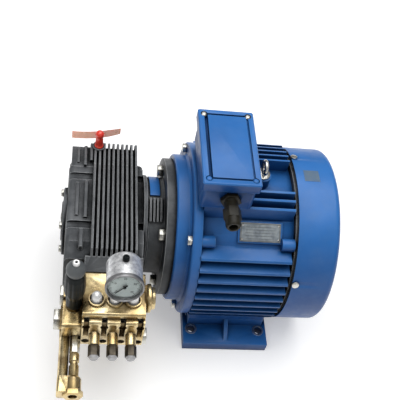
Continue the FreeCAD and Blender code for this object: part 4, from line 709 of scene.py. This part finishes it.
def knob():
    """Fluted hand knob with a groove under its grey domed cap, and a socket screw in its top."""
    low, high, centre = box_of("unloader_knob")
    wide = (high.x - low.x) / 2
    base, top = low.z, high.z
    bore = 0.0097
    brow, crown, well = base + 0.0765, top - 0.0048, top - 0.0020

    def flutes(angle, along, radius):
        """Grooves on the outside only, which fade out towards the foot and below the cap."""
        if radius <= bore + 1e-6:
            return radius
        fade_in = max(0.0, min(1.0, (along - base - 0.012) / 0.012))
        fade_out = max(0.0, min(1.0, (base + 0.072 - along) / 0.008))
        return radius - FLUTE_DEPTH * fade_in * fade_out * (0.5 - 0.5 * math.cos(FLUTES * angle)) ** 2

    def turned(name, outline, slot, material=None, stands_for=(), **shape):
        mesh = rounded_lathe(name, (centre.x, centre.y, 0), "z", outline, **shape)
        piece(name, mesh, "knob", slot, material, stands_for)

    turned("knob_shell", [
        (top - 0.010, 0.0), (top - 0.010, bore), (base, bore), (base, 0.0106), (base + 0.006, 0.0107),
        (base + 0.0225, 0.0111), (base + 0.033, wide - 0.0004), (base + 0.052, wide),
        (base + 0.066, wide - 0.0006), (base + 0.074, wide - 0.0022), (brow, wide - 0.0030), (brow, 0.0)],
        "black_plastic", stands_for=("unloader_knob",), radius=0.0012, sides=144, ripple=flutes)
    turned("knob_cap", [
        (brow, 0.0), (brow, wide - 0.0030), (brow + 0.0025, wide - 0.0018), (brow + 0.0080, wide - 0.0014),
        (crown - 0.0075, wide - 0.0026), (crown - 0.0030, wide - 0.0055), (crown - 0.0008, wide - 0.0085),
        (crown, 0.0050), (crown, 0.0)], "black_plastic", MATERIALS["grey_plastic"], radius=0.0014)
    # The screw's zinc is whitened as a painted highlight.
    turned("knob_screw", [
        (crown - 0.0005, 0), (crown - 0.0005, 0.0044), (top - 0.0012, 0.0044), (top, 0.0032),
        (top, 0.0018), (well, 0.0017), (well, 0)], "zinc_steel", MATERIALS["glint_white_zinc"],
        radius=0.0005, sides=48)
    turned("knob_socket", [
        (well, 0), (well, 0.0016), (well + 0.0005, 0.0016), (well + 0.0005, 0)],
        "black_plastic", radius=0.0001, sides=6)


def spring():
    """The unloader spring as a real coil with closed ends, built at its rest length; the plate shortens the
    real spring as it comes down.
    """
    low, high, centre = box_of("unloader_spring")
    wire, wire_sides = 0.0009, 8
    radius = (high.x - low.x) / 2 - wire
    turns, steps_per_turn = 9, 24
    closed_share = 0.09
    count = turns * steps_per_turn
    rise = high.z - low.z - 2 * wire
    up = Vector((0, 0, 1))
    rings = []
    for i in range(count + 1):
        t = i / count
        angle = 2 * math.pi * turns * t
        along = min(1.0, max(0.0, (t - closed_share) / (1 - 2 * closed_share)))
        out = Vector((math.cos(angle), math.sin(angle), 0.0))
        spot = Vector((centre.x, centre.y, low.z + wire + rise * along)) + out * radius
        sides = (2 * math.pi * k / wire_sides for k in range(wire_sides))
        rings.append([spot + (out * math.cos(side) + up * math.sin(side)) * wire for side in sides])
    mesh = skinned_mesh("spring_coil", rings, 60.0)
    coil = piece("spring_coil", mesh, BODY_OF["unloader_spring"], "machined_steel",
                 stands_for=("unloader_spring",))
    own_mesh(coil)


def oil_plug():
    """Red filler plug: flanged base, ribbed neck, round grip, dipstick, and a clear orange film tag."""
    low, high, centre = box_of("oil_plug")
    seat = low.z + DIPSTICK_LENGTH
    ball_z = high.z - GRIP_RADIUS
    outline = [(low.z, 0), (low.z, 0.0035), (seat, 0.0035), (seat, 0.0065), (seat + 0.0022, 0.0065),
               (seat + 0.0030, 0.0056), (seat + 0.010, 0.0053), (seat + 0.0155, 0.0056)]
    ball_steps = 12
    for i in range(ball_steps):
        angle = math.radians(-50.0 + 140.0 * i / ball_steps)
        outline.append((ball_z + GRIP_RADIUS * math.sin(angle), GRIP_RADIUS * math.cos(angle)))
    outline.append((high.z, 0.0))

    def ribs(angle, along, radius):
        on_neck = seat + 0.004 < along < seat + 0.015
        return radius + (RIB_DEPTH * math.cos(RIBS * angle) if on_neck else 0.0)

    body = lathe_mesh("oil_plug_grip", (centre.x, centre.y, 0), "z", outline, ripple=ribs)
    piece("oil_plug_grip", body, "oil_plug_body", "red_plastic", stands_for=("oil_plug",))
    tag = skinned_mesh("oil_plug_tag", tag_rings(centre, seat))
    piece("oil_plug_tag", tag, "oil_plug_body", "red_plastic", material=MATERIALS["clear_tag"])


def tag_rings(centre, seat):
    """Rings of the thin upright film strip that curls behind the oil plug and rises to the right."""
    left, back, steps = centre.x - 0.040, centre.y + 0.0075, 24
    path = []
    for i in range(steps + 1):
        t = i / steps
        path.append(Vector((left + TAG_LENGTH * t, back + TAG_CURL * (2 * t - 1) ** 2,
                            seat + 0.008 + TAG_RISE * t)))
    rings = []
    for i, spot in enumerate(path):
        ahead = path[min(i + 1, steps)] - path[max(i - 1, 0)]
        out = ahead.cross(Vector((0, 0, 1))).normalized() * TAG_THICKNESS / 2
        width = TAG_WIDTH - TAG_TAPER * max(0.0, (i / steps - 0.75) / 0.25)
        side = Vector((0, 0, width / 2))
        rings.append([spot + corner for corner in (side + out, side - out, -side - out, out - side)])
    return rings


# ---- Plates, labels and rings ----
# The data plate lies on the slope between the motor's top and side.
PLATE_TILT = math.radians(37.5)
PLATE_WIDTH, PLATE_THICKNESS = 0.026, 0.001
PLATE_ROWS, ROW_PITCH = 5, 0.0040


def nameplate():
    """Blank data plate with a raised rim, five blank lines and four rivets."""
    low, high, centre = box_of("nameplate")
    tilt = Matrix.Rotation(PLATE_TILT, 3, "X")
    length, width = high.x - low.x, PLATE_WIDTH
    along = Vector((1, 0, 0))
    across = tilt @ Vector((0, 1, 0))
    out = tilt @ Vector((0, 0, 1))

    def slab(name, size, right, up, lift):
        place = centre + along * right + across * up + out * lift
        return block_mesh(name, size, place, tilt, bevel=0.0002)

    plate = slab("data_plate", (length, width, PLATE_THICKNESS), 0, 0, 0)
    piece("data_plate", plate, "pump_unit", "plate_aluminium", stands_for=("nameplate",))
    rim, inset, lift = 0.0008, 0.0014, 0.0006
    parts = [slab("rim", (length - 0.002, rim, 0.0006), 0, side * (width / 2 - inset), lift)
             for side in (-1, 1)]
    parts += [slab("rim", (rim, width - 0.002, 0.0006), side * (length / 2 - inset), 0, lift)
              for side in (-1, 1)]
    for i in range(PLATE_ROWS):
        up = (i - (PLATE_ROWS - 1) / 2) * ROW_PITCH - 0.0008
        parts.append(slab("field", (length - 0.014, 0.0003, 0.0004), 0, up, lift))
    piece("data_plate_rim", merged("data_plate_rim", parts), "pump_unit", "plate_aluminium",
          material=MATERIALS["etched"])
    rivets = []
    for side in (-1, 1):
        for end in (-1, 1):
            rivet = rounded_lathe("rivet", (0, 0, 0), "z", [
                (0, 0), (0, 0.0016), (0.0005, 0.0015), (0.0011, 0.0008), (0.0012, 0)],
                radius=0.0002, sides=24)
            spot = centre + along * end * (length / 2 - 0.0032) + across * side * (width / 2 - 0.0034)
            rivet.transform(Matrix.Translation(spot + out * PLATE_THICKNESS / 2) @ tilt.to_4x4())
            rivets.append(rivet)
    piece("data_plate_rivets", merged("data_plate_rivets", rivets), "pump_unit", "zinc_steel")


def cowl_label():
    """A faded blank label on top of the cowl, curved round it."""
    low = box_of("fan_cowl")[0]
    left, right = low.x + 0.012, low.x + 0.034
    half_thickness = 0.0002
    outer, inner = COWL_RADIUS + half_thickness, COWL_RADIUS - half_thickness
    start, spread, steps = -2.0, 9.0, 8
    rings = []
    for i in range(steps + 1):
        angle = math.radians(start + spread * i / steps)
        rings.append([Vector((x, reach * math.sin(angle), SHAFT_HEIGHT + reach * math.cos(angle)))
                      for x, reach in ((left, outer), (right, outer), (right, inner), (left, inner))])
    piece("cowl_label", skinned_mesh("cowl_label", rings), "pump_unit", "plate_aluminium",
          material=MATERIALS["faded_label"])


def worn_and_glint_rings():
    """Bare metal rings round the foot holes: partly paint worn by washers, partly a painted highlight for
    the glints at their rims.
    """
    rings = []
    for x in (-FOOT_HOLE_X, FOOT_HOLE_X):
        for y in (-FOOT_HOLE_Y, FOOT_HOLE_Y):
            rings.append(rounded_lathe("ring", (x, y, FOOT_TOP), "z", [
                (-0.0006, 0.0059), (0.0002, 0.0062), (0.0003, 0.0070), (0.0002, 0.0090), (-0.0002, 0.0094),
                (-0.0006, 0.0059)], radius=0.0001, sides=48))
    piece("worn_and_glint_rings", merged("worn_and_glint_rings", rings), "pump_unit", "zinc_steel",
          material=MATERIALS["bare_metal_glint"])


# ---- Stage ----
def floor():
    """A plain pale floor."""
    mesh = bpy.data.meshes.new("floor")
    half_side = 60.0
    low = cad_box[0][2]
    outline = [(half_side * x, half_side * y, low) for x, y in ((-1, -1), (1, -1), (1, 1), (-1, 1))]
    mesh.from_pydata(outline, [], [(0, 1, 2, 3)])
    obj = bpy.data.objects.new("floor", mesh)
    bpy.context.scene.collection.objects.link(obj)
    g = Graph("pale_floor")
    tone = g.span(g.noise(3.0), 0.3, 0.7)
    pale = g.blend(tone, (0.86, 0.86, 0.86, 1), (0.89, 0.89, 0.89, 1))
    g.put(g.shader, "Emission Color", (1.0, 1.0, 1.0, 1.0))
    g.put(g.shader, "Emission Strength", 0.34)
    mesh.materials.append(g.set(color=pale, rough=0.95, specular=0.1))


def area_light(name, place, target, size, power):
    """A soft square light that points at a target."""
    data = bpy.data.lights.new(name, "AREA")
    data.size = size
    data.energy = power
    obj = bpy.data.objects.new(name, data)
    obj.location = place
    obj.rotation_euler = (Vector(target) - Vector(place)).to_track_quat("-Z", "Y").to_euler()
    bpy.context.scene.collection.objects.link(obj)


def lights():
    """Soft studio light: a large light overhead, a key from the upper left, a weak fill and a pale sky."""
    aim = (-0.06, 0.0, 0.15)
    area_light("top", (0.10, 0.30, 1.90), aim, 1.8, 29.0)
    area_light("key", (-1.10, -0.60, 1.70), aim, 0.8, 5.0)
    area_light("front_fill", (0.50, -1.70, 0.80), aim, 0.8, 1.6)
    world = bpy.data.worlds.new("studio")
    world.use_nodes = True
    tree = world.node_tree
    way = tree.nodes.new("ShaderNodeTexCoord")
    split = tree.nodes.new("ShaderNodeSeparateXYZ")
    ramp = tree.nodes.new("ShaderNodeValToRGB")
    tree.links.new(way.outputs["Generated"], split.inputs[0])
    tree.links.new(split.outputs["Z"], ramp.inputs["Fac"])
    ramp.color_ramp.elements[0].color = (0.10, 0.10, 0.10, 1.0)
    ramp.color_ramp.elements[1].color = (0.95, 0.95, 0.95, 1.0)
    tree.links.new(ramp.outputs["Color"], tree.nodes["Background"].inputs["Color"])
    tree.nodes["Background"].inputs["Strength"].default_value = 0.55
    bpy.context.scene.world = world
    bpy.context.scene.view_settings.view_transform = "Standard"


# The place looked at and the distance in metres, the lens in millimetres, and angles in degrees.
CAMERA_AIM, CAMERA_DISTANCE, CAMERA_LENS = Vector((-0.0616, 0.0, 0.1992)), 1.0911, 68.57
CAMERA_AZIMUTH, CAMERA_ELEVATION, CAMERA_ROLL = -14.78, 50.72, 14.75


def camera():
    """The camera at the viewing angle of the reference picture."""
    azimuth, elevation, roll = (
        math.radians(value) for value in (CAMERA_AZIMUTH, CAMERA_ELEVATION, CAMERA_ROLL))
    back = Vector((math.sin(azimuth) * math.cos(elevation), -math.cos(azimuth) * math.cos(elevation),
                   math.sin(elevation)))
    level = Vector((math.cos(azimuth), math.sin(azimuth), 0.0))
    upright = back.cross(level)
    right = level * math.cos(roll) + upright * math.sin(roll)
    up = upright * math.cos(roll) - level * math.sin(roll)
    data = bpy.data.cameras.new("camera")
    data.sensor_width = 36.0
    data.lens = CAMERA_LENS
    obj = bpy.data.objects.new("camera", data)
    obj.matrix_world = Matrix((right, up, back)).transposed().to_4x4()
    obj.location = CAMERA_AIM + back * CAMERA_DISTANCE
    bpy.context.scene.collection.objects.link(obj)
    bpy.context.scene.camera = obj


# ---- Everything together ----
for node, obj in NODES.items():
    obj.data.materials.clear()
    obj.data.materials.append(finish_of(node))
castings()
gauge()
knob()
spring()
oil_plug()
nameplate()
worn_and_glint_rings()
cowl_label()
floor()
lights()
camera()
